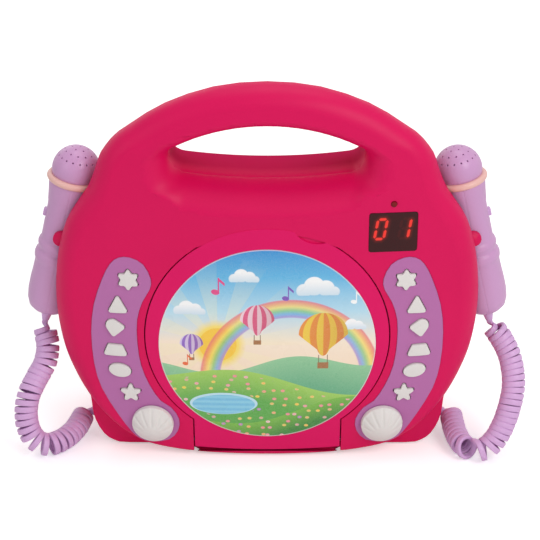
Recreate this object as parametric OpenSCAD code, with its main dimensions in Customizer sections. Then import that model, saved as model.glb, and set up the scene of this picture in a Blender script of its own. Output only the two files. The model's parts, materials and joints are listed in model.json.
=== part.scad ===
// Portable karaoke disc player with a carrying handle, a hinged disc lid on its face,
// two microphones clipped to its sides and their curly cords.
// Heights are above the floor, x runs to the right seen from the front,
// and depths run back from the crown of the face.

/* [Body] */
// Width of the housing across its widest part
body_w = 257.4; // [250:0.2:266]
// Height of the housing to the top of the handle
body_h = 245; // [240:0.5:252]
// Depth from the crown of the face to the flat of the back
body_depth = 92; // [88:0.5:100]
// Depth at which the front and rear housings meet
parting_d = 24; // [23.5:0.1:25]
// Depth of the housing at the top of the handle
top_depth = 38; // [36:0.5:42]
// Wall thickness of the two housings
wall = 2.5; // [2:0.1:2.8]
// Height of the rubber feet below the housing
foot_h = 1; // [0.8:0.1:1.6]
// Radius of the crowned face
face_r = 850; // [840:5:900]
// Height of the middle of the crowned face
face_z = 120; // [116:1:124]
// Rounding of the edge round the face
edge_roll = 12; // [10:0.5:13]
// Rounding of the lip under the lid
lip_roll = 3; // [2.5:0.1:4]
// Rounding of the edge round the back
back_roll = 8; // [6:0.5:9]

/* [Handle] */
// Height of the grip from the hole to the top
grip_h = 23; // [22:0.5:26]
// Radius of the arched top of the hand hole
hole_top_r = 114; // [112:0.5:118]
// Half the width of the hand hole
hole_half_w = 58; // [54:0.5:60]
// Radius of the ends of the hand hole
hole_end_r = 10; // [9:0.5:11]
// Height of the opening of the hand hole at its middle
hole_h = 35.5; // [34:0.5:37]
// Height of the scoop that leads from the face to the floor of the hand hole
scoop_r = 17; // [15:0.5:18]
// Depth of that scoop
scoop_depth = 30; // [24:0.5:34]
// Rounding of the face into the ends of the hand hole
scoop_side_r = 12; // [10:0.5:13]
// Rounding of the face under the grip
under_r = 6; // [5:0.5:8]
// Rounding of the back round the hand hole
hole_back_r = 4; // [3.5:0.1:5]

/* [Lid] */
// Radius of the round lid
lid_r = 74; // [72:0.2:74.6]
// Height of the middle of the lid and of the disc
lid_z = 87.5; // [87:0.1:88.5]
// Gap round the lid
lid_gap = 0.8; // [0.7:0.05:1]
// Thickness of the lid
lid_t = 2.2; // [2:0.1:2.4]
// Width of the square foot of the lid
foot_w = 91; // [88:0.5:94]
// Height of the lower edge of the lid
foot_z = 6; // [5.8:0.1:6.6]
// Radius of the lower edge of the lid
foot_arc_r = 620; // [500:10:800]
// Radius of the printed insert
insert_r = 66; // [62:0.5:67]
// Height of the middle of the printed insert
insert_z = 82.5; // [81:0.5:84]
// Thickness of the printed insert
insert_t = 0.5; // [0.4:0.05:0.8]
// Height of the hinge axis
hinge_z = 10.6; // [10.4:0.1:10.9]
// Depth of the hinge axis
hinge_d = 13.4; // [13.2:0.05:13.5]
// Radius of the hinge pin
pin_r = 1.5; // [1.2:0.1:1.6]
// Outer radius of the hinge barrels on the lid
barrel_r = 3.2; // [3:0.1:3.4]

/* [Disc drive] */
// Radius of the well that takes the disc
well_r = 63; // [62:0.1:63.6]
// Depth of the floor of the well
well_floor_d = 17; // [16.8:0.1:17.4]
// Thickness of the deck
deck_t = 2; // [1.8:0.1:2.2]
// Radius of the hub that centres the disc
hub_r = 7.4; // [7.2:0.05:7.45]
// Radius of the turntable under the disc
turntable_r = 14; // [12:0.5:15]
// Radius of the spindle shaft
shaft_r = 1; // [0.9:0.05:1.1]
// Radius of the spindle motor
motor_r = 12; // [11:0.2:12.4]
// Travel of the optical pickup
sled_travel = 33.5; // [30:0.5:34]
// Radius of the guide rods and of the feed screw
rod_r = 1.5; // [1.4:0.05:1.6]

/* [Controls] */
// Height that the keys stand above the panels
key_proud = 2; // [1.6:0.1:2.4]
// Travel of the keys
key_travel = 1.2; // [0.8:0.1:1.3]
// Gap round each key
key_gap = 0.5; // [0.45:0.05:0.6]
// Radius of the two knobs
knob_r = 13; // [12:0.1:13.4]
// Distance of the knobs from the middle
knob_x = 71.3; // [71:0.1:72]
// Height of the knobs
knob_z = 26; // [25.6:0.1:26.4]
// Thickness of the key panels
panel_t = 1.5; // [1.3:0.1:1.6]
// Width of the display window
display_w = 28.6; // [26:0.2:29]
// Height of the display window
display_h = 24.5; // [22:0.5:25]

/* [Power and sound] */
// Radius of the loudspeaker
speaker_r = 33; // [30:0.5:34]
// Inside width of the battery compartment
battery_w = 112; // [108:0.5:114]
// Inside height of the battery compartment
battery_h = 54; // [52:0.5:56]
// Radius of the bore of the supply socket
jack_r = 2.85; // [2.75:0.05:3.25]

/* [Microphones] */
// Lean of the microphones towards the housing, in degrees
mic_tilt = 13.5; // [12.5:0.1:14]
// Depth of the axis of the microphones
mic_d = 40; // [39.8:0.1:41]
// Distance of the lower end of each microphone from the middle
mic_x = 137.5; // [137.2:0.1:138.5]
// Height of the lower end of each microphone
mic_z = 89.5; // [89:0.1:90]
// Radius of the handle at the clip
mic_grip_r = 12.7; // [12:0.1:12.7]
// Distance from the lower end of each microphone to its ring
mic_neck_l = 88.5; // [87:0.5:90]
// Radius of the ring under the head
mic_ring_r = 16.5; // [15.6:0.1:16.5]
// Height of the ring under the head
mic_ring_h = 4.2; // [3.6:0.1:5]
// Radius of the round head
mic_head_r = 14.5; // [13.6:0.1:14.6]
// Travel of the switch on the microphones
switch_travel = 4; // [3:0.1:4.5]
// Thickness of the two arms of each clip
clip_t = 2.6; // [2.2:0.1:2.8]

/* [Cords] */
// Thickness of the cord
cord_dia = 2.8; // [2.6:0.05:2.8]
// Outer diameter of the curls
curl_dia = 14.5; // [14:0.1:14.6]
// Spacing of the curls where the cord runs straight
curl_pitch = 3.32; // [3.3:0.01:3.6]

/* [Hidden] */
$fn = 48;

pink = [0.86, 0.11, 0.35];
lid_pink = [0.88, 0.12, 0.40];
lavender = [0.73, 0.47, 0.70];
mic_lilac = [0.73, 0.53, 0.74];
cord_lilac = [0.72, 0.47, 0.78];
peach = [0.95, 0.75, 0.72];
key_white = [0.93, 0.92, 0.90];
smoke_red = [0.35, 0.03, 0.06];
dark_grey = [0.16, 0.16, 0.17];
steel = [0.70, 0.71, 0.73];
board_green = [0.10, 0.35, 0.20];

eps = 0.01;
fit = 0.05;          // radial clearance of a shaft or pin in its bore
seat = 0.15;         // clearance of a piece set into the housing
over = 6;            // how far cutting shapes reach past what they cut
half_w = body_w / 2;
arch_z = body_h - grip_h - hole_top_r;
polar_z = 105;       // height of the middle that the front housing is drawn round

// ---- frames and simple solids -------------------------------------------------

module in_place() {
  translate([0, -body_depth / 2, 0]) children();
}

module along_y(from, to) {
  translate([0, to, 0]) rotate([90, 0, 0]) linear_extrude(to - from) children();
}

module rod_y(x, z, r, from, to) {
  translate([x, to, z]) rotate([90, 0, 0]) cylinder(r = r, h = to - from);
}

module rod_x(d, z, r, from, to) {
  translate([from, d, z]) rotate([0, 90, 0]) cylinder(r = r, h = to - from);
}

module block(low, high) {
  translate(low) cube([high[0] - low[0], high[1] - low[1], high[2] - low[2]]);
}

module both_sides() {
  children();
  mirror([1, 0, 0]) children();
}

module face_ball(depth) {
  translate([0, face_r, face_z]) sphere(face_r - depth, $fn = 256);
}

// ---- outlines -----------------------------------------------------------------

function face_d(x, z) = face_r - sqrt(face_r * face_r - x * x - (z - face_z) * (z - face_z));

function spline_point(a, b, c, d, t) =
  0.5 * (2 * b + (c - a) * t + (2 * a - 5 * b + 4 * c - d) * t * t + (3 * b - a - 3 * c + d) * t * t * t);

function closed_spline(p, n) = let (m = len(p)) [
  for (i = [0:m - 1]) for (k = [0:n - 1])
    spline_point(p[(i + m - 1) % m], p[i], p[(i + 1) % m], p[(i + 2) % m], k / n)
];

function arc(cx, cz, r, a0, a1, n) = [
  for (i = [0:n]) let (a = a0 + (a1 - a0) * i / n) [cx + r * cos(a), cz + r * sin(a)]
];

// The right half, from the top down to the middle of the bottom, with its mirror image.
function whole(half) = concat(half, [for (i = [len(half) - 2:-1:1]) [-half[i][0], half[i][1]]]);

arch = [[0, body_h], [30, body_h - 3.2], [58, body_h - 13], [78, body_h - 25.4]];

// Outline of the front housing: arched top, a soft notch at the shoulders, round sides, a narrow chin.
front_outline = closed_spline(whole(concat(arch, [
  [half_w - 38.7, body_h - 35.4], [half_w - 31.5, body_h - 43.8], [half_w - 27.2, body_h - 54], [half_w - 22.6, body_h - 65],
  [half_w - 15.2, body_h - 76], [half_w - 8.7, body_h - 87], [half_w - 3.2, body_h - 105],
  [half_w - 0.3, 118], [half_w - 0.2, 97], [half_w - 3.1, 75], [half_w - 8.2, 58],
  [half_w - 14.5, 45], [half_w - 22.5, 33.5], [half_w - 32.5, 22.5], [half_w - 44, 13.3 + foot_h - 1],
  [half_w - 57, 7 + foot_h - 1], [43, 2.4 + foot_h - 1], [0, foot_h]
])), 2);

// Outline of the rear housing: the same arch, drawn in beside the microphones, wide at the foot.
rear_outline = closed_spline(whole(concat([
  [0, body_h - 7], [28, body_h - 10.2], [55, body_h - 19.8], [75, body_h - 33.3], [half_w - 43.2, body_h - 44.5],
  [half_w - 35.5, body_h - 56], [half_w - 32, body_h - 66],
  [half_w - 29.5, body_h - 80], [half_w - 24.7, body_h - 95], [half_w - 19.7, 133], [half_w - 16, 118],
  [half_w - 13.2, 101], [half_w - 10.7, 84], [half_w - 8.6, 68], [half_w - 9.7, 56],
  [half_w - 13.5, 46], [half_w - 17, 37], [half_w - 17.9, 27], [half_w - 19.5, 18],
  [half_w - 24.3, 8 + foot_h - 1], [half_w - 31, 2.7 + foot_h - 1], [half_w - 41, foot_h],
  [48, foot_h], [0, foot_h]
])), 2);

// Outline of the right key panel, which swells into a round lobe under its knob.
panel_outline = closed_spline([
  [half_w - 47.4, 141.6], [half_w - 40.6, 141.3], [half_w - 35.2, 137], [half_w - 29.9, 126.5],
  [half_w - 24.1, 109], [half_w - 21.7, 90], [half_w - 22.4, 68], [half_w - 26.2, 50],
  [half_w - 35.2, 31.3], [half_w - 43.5, 17.5], [half_w - 49, 12.3], [knob_x + 1, knob_z - 15.6],
  [knob_x - 9.5, knob_z - 13.4], [knob_x - 15.4, knob_z - 6], [knob_x - 16.2, knob_z + 3], [knob_x - 11.5, knob_z + 11.5],
  [knob_x - 5, knob_z + 16.5], [half_w - 56, 54], [half_w - 51.4, 68], [half_w - 49.7, 84],
  [half_w - 50.1, 100], [half_w - 53.7, 112.5], [half_w - 58.4, 121], [half_w - 59.3, 128], [half_w - 55, 137.4]
], 2);

function side_of(outline, side) = [for (p = outline) [side * p[0], p[1]]];

// ---- domed housings -----------------------------------------------------------

// A closed solid through rings of as many points each, with a point at each end.
module loft(rings, first, last) {
  n = len(rings[0]);
  m = len(rings);
  polyhedron(
    concat([first], [for (r = rings) each r], [last]),
    concat(
      [for (i = [0:n - 1]) [0, 1 + i, 1 + (i + 1) % n]],
      [for (j = [0:m - 2]) for (i = [0:n - 1]) let (a = 1 + j * n, b = a + n, k = (i + 1) % n)
        each [[a + i, b + i, b + k], [a + i, b + k, a + k]]],
      [for (i = [0:n - 1]) [1 + (m - 1) * n + i, m * n + 1, 1 + (m - 1) * n + (i + 1) % n]]
    )
  );
}

function smooth(t) = let (u = min(1, max(0, t))) u * u * (3 - 2 * u);

function polar_r(p, mid) = norm([p[0], p[1] - mid]);

// The point of outline point p's ray that lies r from the middle, which is at the height mid.
function on_ray(p, r, mid) = let (k = r / polar_r(p, mid)) [p[0] * k, mid + (p[1] - mid) * k];

low_z = 15;          // below this height the edge is rolled as the lip is
high_z = 60;         // above this height it has its full roll

function roll_at(z) = lip_roll + (edge_roll - lip_roll) * smooth((z - low_z) / (high_z - low_z));

// Every second point of a list, for surfaces that are hidden inside.
function thinned(list) = [for (i = [0:2:len(list) - 1]) list[i]];

// The crowned front, drawn in by inset all round, from the face back to the depth back.
module front_dome(inset, back) {
  hidden = inset > panel_t + 0.3;
  outline = hidden ? thinned(front_outline) : front_outline;
  function at(p, r, drop) = let (q = on_ray(p, r, polar_z)) [q[0], face_d(q[0], q[1]) + inset + drop, q[1]];
  function roll(p) = max(roll_at(p[1]) - inset, 0.5);
  loft(concat(
    [for (f = hidden ? [0.7] : [0.25, 0.5, 0.76]) [for (p = outline) at(p, f * (polar_r(p, polar_z) - inset - roll(p)), 0)]],
    [for (a = hidden ? [90, 45, 0] : [90, 67.5, 45, 22.5, 0]) [for (p = outline)
      at(p, polar_r(p, polar_z) - inset - roll(p) * (1 - cos(a)), roll(p) * (1 - sin(a)))]],
    [[for (p = outline) let (q = on_ray(p, polar_r(p, polar_z) - inset, polar_z)) [q[0], back, q[1]]]]
  ), [0, face_d(0, polar_z) + inset, polar_z], [0, back, polar_z]);
}

knee_z = 84;         // height at which the upright back starts to slope forward
knee_w = 3;          // half the height over which it bends
back_slope = (body_depth - top_depth) / (body_h - knee_z);
slope_angle = atan(back_slope);

function ramp(u) = u <= -knee_w ? 0 : u >= knee_w ? u : (u + knee_w) * (u + knee_w) / (4 * knee_w);

function back_d(z) = body_depth - back_slope * ramp(z - knee_z);

// The rear housing's form, drawn in by inset all round, from the depth front to the back.
module rear_dome(inset, front) {
  hidden = inset > 0;
  outline = hidden ? thinned(rear_outline) : rear_outline;
  roll = max(back_roll - inset, 0.5);
  function at(p, r, drop) = let (q = on_ray(p, r, knee_z)) [q[0], back_d(q[1]) - inset - drop, q[1]];
  loft(concat(
    [[for (p = outline) let (q = on_ray(p, polar_r(p, knee_z) - inset, knee_z)) [q[0], front, q[1]]]],
    [for (a = hidden ? [0, 90] : [0, 30, 60, 90]) [for (p = outline)
      at(p, polar_r(p, knee_z) - inset - roll * (1 - cos(a)), roll * (1 - sin(a)))]],
    [for (f = hidden ? [0.55] : [0.7, 0.35]) [for (p = outline) at(p, f * (polar_r(p, knee_z) - inset - roll), 0)]]
  ), [0, front, knee_z], [0, back_d(knee_z) - inset, knee_z]);
}

// ---- the hand hole --------------------------------------------------------------

hole_z = body_h - grip_h - hole_h;   // height of the lowest point of the hand hole
end_x = hole_half_w - hole_end_r;
end_z = arch_z + sqrt(pow(hole_top_r - hole_end_r, 2) - end_x * end_x);
end_rise = end_z - hole_z;
sag_r = (end_x * end_x + end_rise * end_rise - hole_end_r * hole_end_r) / (2 * (end_rise - hole_end_r));
top_a = atan2(end_z - arch_z, end_x);
low_a = atan2(end_z - hole_z - sag_r, end_x);

// Centre, radius and span of the four arcs of the hand hole, clockwise from its left end.
hole_arcs = [
  [0, arch_z, hole_top_r, 180 - top_a, top_a, 9], [end_x, end_z, hole_end_r, top_a, low_a, 5],
  [0, hole_z + sag_r, sag_r, low_a, -180 - low_a, 7], [-end_x, end_z, hole_end_r, -180 - low_a, -180 - top_a, 5]
];

// Each point of the hole with the direction that leads away from the hole.
hole_points = [
  for (h = hole_arcs) for (i = [0:h[5] - 1]) let (a = h[3] + (h[4] - h[3]) * i / h[5])
    [h[0] + h[2] * cos(a), h[1] + h[2] * sin(a), cos(a), sin(a)]
];

function scoop_at(p) = scoop_side_r * p[2] * p[2] + (p[3] > 0 ? under_r : scoop_r) * p[3] * p[3];
function scoop_in(p) = scoop_side_r * 1.4 * p[2] * p[2] + (p[3] > 0 ? under_r : scoop_depth) * p[3] * p[3];

// The hand hole with its flared mouths, or with grow the wall that runs round it.
module throat(grow) {
  function out(p, e) = [p[0] + p[2] * e, p[1] + p[3] * e];
  function front(p, b, ahead) = let (q = out(p, grow + (scoop_at(p) - grow) * (1 - sin(b))))
    [q[0], face_d(q[0], q[1]) + grow + (scoop_in(p) - grow) * (1 - cos(b)) - ahead, q[1]];
  function rear(p, b, past) = let (r = hole_back_r - grow, q = out(p, grow + r * (1 - sin(b))))
    [q[0], back_d(q[1]) - grow - r * (1 - cos(b)) + past, q[1]];
  steps = grow > 0 ? [0, 60, 90] : [0, 30, 60, 90];
  loft(concat(
    [[for (p = hole_points) front(p, 0, over)]],
    [for (b = steps) [for (p = hole_points) front(p, b, 0)]],
    [for (i = [len(steps) - 1:-1:0]) [for (p = hole_points) rear(p, steps[i], i == 0 ? 0.06 : 0)]],
    [[for (p = hole_points) rear(p, 0, over)]]
  ), [0, -over, end_z], [0, body_depth, end_z]);
}

// ---- screw posts ----------------------------------------------------------------

post_r = 3.6;
screw_r = 1.4;
screw_head_r = 2.9;
screw_head_d = parting_d + 8;
post_places = [[88, body_h - 55], [half_w - 22.2, 112], [half_w - 24.7, 45], [40, body_h - 20]];

module posts(from, to, r) {
  for (p = post_places) both_sides() hull() rod_y(p[0], p[1], r, from, to, $fn = 12);
}

// ---- the lid and its opening ------------------------------------------------------

module lid_blank(grow, from, to) {
  rod_y(0, lid_z, lid_r + grow, from, to, $fn = 72);
  intersection() {
    block([-foot_w / 2 - grow, from, foot_z - 5], [foot_w / 2 + grow, to, lid_z - 30]);
    rod_y(0, foot_z + foot_arc_r, foot_arc_r + grow, from, to, $fn = 240);
  }
}

collar_t = 2;
flange_d = 9.6;                       // depth of the ledge behind the lid
ear_d = 10.8;                         // depth of the front of the hinge ears
swing_r = norm([hinge_z - foot_z, hinge_d - face_d(0, foot_z)]) + lid_gap;

// ---- display ----------------------------------------------------------------------

display_x = half_w - 54.4;
display_z = 158.2;
led_x = display_x;
led_z = display_z + display_h / 2 + 5.4;
led_r = 1.7;
window_t = 1.6;

module display_frame(grow, from, to) {
  corner = 1.5;
  x = display_w / 2 - corner;
  z = display_h / 2 - corner;
  translate([display_x, 0, display_z]) along_y(from, to)
    polygon(wrapped([[x, -z, corner], [x, z, corner], [-x, z, corner], [-x, -z, corner]], grow));
}

// ---- housings ---------------------------------------------------------------------

panel_proud = 0.3;
panel_back = panel_t - panel_proud;   // how far the panels are let into the face
ledge_w = 3;
board_d = 15;                         // depth of the key boards
board_t = 1.6;
main_board_d = parting_d + 3;

module front_shell() {
  color(pink) in_place() difference() {
    front_dome(0, parting_d);
    difference() {
      union() {
        front_dome(wall, parting_d - wall);
        intersection() {
          along_y(parting_d - wall - 1, parting_d + 1) offset(delta = -wall - 0.3) polygon(front_outline);
          along_y(parting_d - wall - 1, parting_d + 1) offset(delta = -wall - 0.3) polygon(rear_outline);
        }
      }
      throat(wall);
      intersection() {
        lid_blank(lid_gap + collar_t, 0, flange_d - 0.3);
        block([-lid_r - over, 0, foot_z + wall + 1], [lid_r + over, flange_d, lid_z + lid_r + over]);
      }
      difference() {
        display_frame(2.5, 0, 15);
        display_frame(0.6, 7.4, 16);
      }
      posts(0, parting_d, post_r);
      both_sides() {
        rod_y(board_post[0], board_post[1], post_r - 0.4, 0, board_d - seat, $fn = 12);
        rod_y(board_lug[0], board_lug[1], post_r - 0.4, 0, board_d - seat, $fn = 12);
      }
      for (x = main_post_x) rod_y(x, main_post_z, post_r - 0.4, 0, main_board_d - seat, $fn = 12);
    }
    throat(0);
    lid_blank(lid_gap, -over, flange_d + 1);
    rod_x(hinge_d, hinge_z, swing_r + 0.05, -foot_w / 2 - lid_gap, foot_w / 2 + lid_gap, $fn = 24);
    block([-ear_x - ear_t - seat, ear_d - seat, ear_z[0] - seat], [ear_x + ear_t + seat, parting_d - 1, ear_z[1] + seat]);
    both_sides() {
      difference() {
        along_y(-over, over * 4) offset(delta = seat) polygon(panel_outline);
        front_dome(panel_back + seat, parting_d - eps);
      }
      along_y(-over, 14) offset(delta = -ledge_w) polygon(panel_outline);
    }
    display_frame(seat, -over, 9.6);
    rod_y(led_x, led_z, led_r + seat, -over, over * 2, $fn = 20);
    posts(parting_d - 12, parting_d + 1, screw_r + 0.1);
  }
}

clip_z = mic_z + 54.6;
clip_half = 4.7;
clip_gap = mic_grip_r + 0.35;
function mic_axis_x(z) = mic_x - (z - mic_z) * tan(mic_tilt);
clip_tip_x = mic_axis_x(clip_z) + 5;
clip_root_x = mic_axis_x(clip_z) - mic_grip_r / cos(mic_tilt) - 1.2;

// One clip arm, flat, with a round end, from the side of the housing past the microphone.
module clip_arm(from) {
  hull() {
    rod_y(clip_tip_x - clip_half, clip_z, clip_half, from, from + clip_t, $fn = 16);
    block([clip_root_x - 12, from, clip_z - clip_half], [clip_root_x, from + clip_t, clip_z + clip_half]);
  }
}

grille_pitch = 7;
grille_rows = 4;
speaker_z = 134;
speaker_plane_d = back_d(speaker_z) - wall / cos(slope_angle);

module in_speaker() {
  translate([0, speaker_plane_d, speaker_z]) rotate([slope_angle, 0, 0]) rotate([-90, 0, 0]) children();
}

module grille_slots() {
  in_speaker() for (i = [-grille_rows:grille_rows]) {
    reach = sqrt(pow(speaker_r - 5, 2) - pow(i * grille_pitch, 2)) - 2;
    hull() for (s = [-1, 1]) translate([s * reach, i * grille_pitch, -3]) cylinder(r = 1.5, h = 12, $fn = 10);
  }
}

bay_t = 2;
bay_z = 11;
bay_d = 54;
door_t = 2.2;
jack_x = 84;
jack_z = 40;
foot_place = [76, 14];                // distance of the feet from the middle, and from the edges in depth
foot_r = 7;
foot_sunk = 0.8;
port_z = 12;
port_d = 45;
port_r = 4.2;

module rear_shell() {
  color(pink) in_place() difference() {
    union() {
      rear_dome(0, parting_d);
      both_sides() {
        clip_arm(mic_d - clip_gap - clip_t);
        clip_arm(mic_d + clip_gap);
        block([clip_root_x - 12, mic_d - clip_gap - clip_t, clip_z - clip_half],
              [clip_root_x, mic_d + clip_gap + clip_t, clip_z + clip_half]);
      }
    }
    difference() {
      union() {
        rear_dome(wall, parting_d + wall);
        intersection() {
          along_y(parting_d - 1, parting_d + wall + 1) offset(delta = -wall - 0.3) polygon(front_outline);
          along_y(parting_d - 1, parting_d + wall + 1) offset(delta = -wall - 0.3) polygon(rear_outline);
        }
      }
      throat(wall);
      posts(parting_d, body_depth, post_r + 1.4);
      both_sides() block([jack_x - 9, body_depth - 14, 0], [jack_x + 9, body_depth, 12]);
    }
    throat(0);
    posts(parting_d - 1, body_depth, screw_r + 0.2);
    posts(screw_head_d, body_depth + over, screw_head_r + 0.3);
    grille_slots();
    block([-battery_w / 2 - 1.2, body_depth - wall - 1, bay_z + 0.8],
          [battery_w / 2 + 1.2, body_depth + over, bay_z + battery_h + 2 * bay_t - 0.8]);
    rod_y(jack_x, jack_z, 5.3, body_depth - wall - over, body_depth + over, $fn = 20);
    both_sides() {
      rod_x(port_d, port_z, port_r, half_w - 40, half_w, $fn = 16);
      for (d = [parting_d + foot_place[1], body_depth - foot_place[1]])
        translate([foot_place[0], d, 0]) cylinder(r = foot_r + seat, h = foot_h + foot_sunk, $fn = 16);
    }
  }
}

// ---- panels and keys -----------------------------------------------------------------

// Direction square to the outer tangent that runs from circle a to circle b, as [x, z, radius].
function tangent_a(a, b) = atan2(b[1] - a[1], b[0] - a[0]) - acos((a[2] - b[2]) / norm([b[0] - a[0], b[1] - a[1]]));

// Outline stretched round circles given anticlockwise, each as [x, z, radius], and grown by grow.
function wrapped(c, grow) = let (m = len(c)) [
  for (i = [0:m - 1])
    let (from = tangent_a(c[(i + m - 1) % m], c[i]), span = (tangent_a(c[i], c[(i + 1) % m]) - from + 720) % 360)
    let (steps = max(3, ceil(span / 18)))
    for (k = [0:steps]) let (a = from + span * k / steps)
      [c[i][0] + (c[i][2] + grow) * cos(a), c[i][1] + (c[i][2] + grow) * sin(a)]
];

// A soft star of n points, with outer and inner radius.
function star(n, ro, ri, sharp, grow) = [
  for (k = [0:8 * n - 1]) let (a = 90 + 360 * k / (8 * n), r = ri + (ro - ri) * pow((1 + cos(n * (a - 90))) / 2, sharp) + grow)
    [r * cos(a), r * sin(a)]
];

function oval(a, b, lean, grow) = [
  for (k = [0:35]) let (t = 10 * k, x = (a + grow) * cos(t), z = (b + grow) * sin(t))
    [x * cos(lean) - z * sin(lean), x * sin(lean) + z * cos(lean)]
];

// Place of each key on the right panel; the left panel mirrors it.
key_places = [
  [half_w - 45.7, 127.3], [half_w - 38.7, 110.4], [half_w - 36.7, 94.5],
  [half_w - 36, 78.9], [half_w - 38.3, 64.4], [half_w - 44.3, 48]
];

function key_outline(i, grow) =
  i == 0 ? star(6, 6.5, 4.5, 1.3, 1.5 * grow) :
  i == 1 ? wrapped([[-4.3, -4.1, 1.2], [4.3, -4.1, 1.2], [0, 4.2, 1.2]], grow) :
  i == 2 ? wrapped([[-4.3, 0.5, 1.3], [1.2, -4.4, 1.3], [1.7, 1.7, 4]], grow) :
  i == 3 ? wrapped([[-5.6, -2.7, 1.3], [5.5, -2.3, 1.3], [3.5, 2.8, 1.2], [-3.7, 2.4, 1.2]], grow) :
  i == 4 ? oval(6.9, 4.5, 10, grow) :
  star(5, 6.4, 3.5, 1.2, 1.6 * grow);

module key_shape(i, side, grow) {
  translate([side * key_places[i][0], key_places[i][1]])
    polygon([for (p = key_outline(i, grow)) [side * p[0], p[1]]]);
}

flange_grow = 1;
stem_r = 1.6;
crown_r = 45;        // radius of the crown on each key

// Depth of the front of the flange that keeps key i behind its panel.
function key_back(i) = let (p = key_places[i]) face_d(p[0] + 8, p[1] > face_z ? p[1] + 8 : p[1] - 8) + panel_back + 0.3;

module key(i, side) {
  p = key_places[i];
  back = key_back(i);
  root = [side * p[0], face_d(p[0], p[1]), p[1]];
  inward = unit([0, face_r, face_z] - root);
  color(key_white) in_place() union() {
    intersection() {
      along_y(-over, back + 0.5) key_shape(i, side, 0);
      translate(root + (crown_r - key_proud) * inward) sphere(crown_r, $fn = 128);
    }
    along_y(back, back + 1) key_shape(i, side, flange_grow);
    rod_y(side * p[0], p[1], stem_r, back, board_d - key_travel - 0.3);
  }
}

pot_shaft_r = 3;
pot_d = 3;
pot_w = 16;

module panel(side) {
  color(lavender) in_place() difference() {
    intersection() {
      along_y(-over, over * 4) polygon(side_of(panel_outline, side));
      face_ball(-panel_proud);
    }
    face_ball(panel_back);
    for (i = [0:5]) along_y(-over, over * 4) key_shape(i, side, key_gap);
    translate([0, body_depth / 2, 0]) on_dial(side) rod_y(0, 0, pot_shaft_r + 0.4, -over, over);
  }
}

module left_panel() { panel(-1); }
module right_panel() { panel(1); }
module left_star_key() { key(0, -1); }
module left_triangle_key() { key(1, -1); }
module left_pick_key() { key(2, -1); }
module left_trapezoid_key() { key(3, -1); }
module left_oval_key() { key(4, -1); }
module left_point_key() { key(5, -1); }
module right_star_key() { key(0, 1); }
module right_triangle_key() { key(1, 1); }
module right_pick_key() { key(2, 1); }
module right_trapezoid_key() { key(3, 1); }
module right_oval_key() { key(4, 1); }
module right_point_key() { key(5, 1); }

board_post = [half_w - 30.7, 141];
board_lug = [half_w - 18.2, 68];

module key_board() {
  difference() {
    along_y(board_d, board_d + board_t) polygon([
      [half_w - 52, 142.5], [half_w - 36, 142.5], [half_w - 34, 145], [half_w - 27, 145],
      [half_w - 26.2, 136], [half_w - 27, 128], [half_w - 25, 74], [half_w - 14.5, 74],
      [half_w - 14.5, 62], [half_w - 27, 62], [half_w - 36, 41], [half_w - 48, 41], [half_w - 48, 118]
    ]);
    for (b = [board_post, board_lug]) rod_y(b[0], b[1], 1.2, board_d - 1, board_d + 3, $fn = 24);
  }
  for (i = [0:5]) rod_y(key_places[i][0], key_places[i][1], 2.2, board_d - 0.2, board_d + eps);
}

module key_boards() {
  color(board_green) in_place() both_sides() key_board();
}

// Frame of a knob: its origin is on the face, and its y axis runs straight into the face.
dial_lean = asin((face_z - knob_z) / face_r);
dial_turn = asin(knob_x / face_r / cos(dial_lean));

module on_dial(side) {
  in_place() mirror([side < 0 ? 1 : 0, 0, 0]) translate([knob_x, face_d(knob_x, knob_z), knob_z])
    rotate([dial_lean, 0, dial_turn]) children();
}

knob_h = 8.2;
knob_rim = 0.7;      // distance of the knob's rim from the face

module knob(side) {
  dome_r = 19;
  color(key_white) on_dial(side) difference() {
    union() {
      intersection() {
        rod_y(0, 0, knob_r, -knob_h - 1, -knob_rim);
        translate([0, dome_r - knob_h, 0]) sphere(dome_r);
      }
      rod_y(0, 0, pot_shaft_r, -knob_rim - 1, pot_d + 6);
    }
    for (a = [-66:22:66]) rotate([0, a, 0]) translate([-0.6, -knob_h - 3, -knob_r * 0.4])
      rotate([16, 0, 0]) cube([1.2, 3.6, knob_r * 2]);
  }
}

module left_knob() { knob(-1); }
module right_knob() { knob(1); }

module dial_pots() {
  color(steel) for (side = [-1, 1]) on_dial(side) difference() {
    union() {
      rod_y(0, 0, 4.6, pot_d - 0.7, pot_d + 1);
      block([-pot_w / 2, pot_d, -pot_w / 2], [pot_w / 2, pot_d + 9, pot_w / 2]);
    }
    rod_y(0, 0, pot_shaft_r + fit, pot_d - 2, pot_d + 6.4);
  }
}

// ---- display ---------------------------------------------------------------------------

module display_window() {
  color(smoke_red) in_place() intersection() {
    display_frame(0, -over, 7.4);
    difference() {
      face_ball(-0.1);
      translate([0, window_t, 0]) face_ball(0);
    }
  }
}

module display_module() {
  low = [display_x - display_w / 2 + 0.4, 7.8, display_z - display_h / 2 + 0.4];
  high = [display_x + display_w / 2 - 0.4, 14.6, display_z + display_h / 2 - 0.4];
  color(dark_grey) in_place() {
    block(low, high);
    block([low[0] - 2, high[1] + 0.5, low[2] - 2], [high[0] + 2, high[1] + 2, high[2] + 2]);
    for (sx = [0.2, 0.8]) rod_y(low[0] + sx * (high[0] - low[0]), display_z, 1, high[1] - eps, high[1] + 0.6);
  }
}

module program_led() {
  color([0.9, 0.15, 0.15]) in_place() {
    rod_y(led_x, led_z, led_r, face_d(led_x, led_z) - 0.6, 12);
    rod_y(led_x, led_z, led_r + 0.6, 8.6, 9.4);
  }
}

// ---- lid ----------------------------------------------------------------------------------

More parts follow.
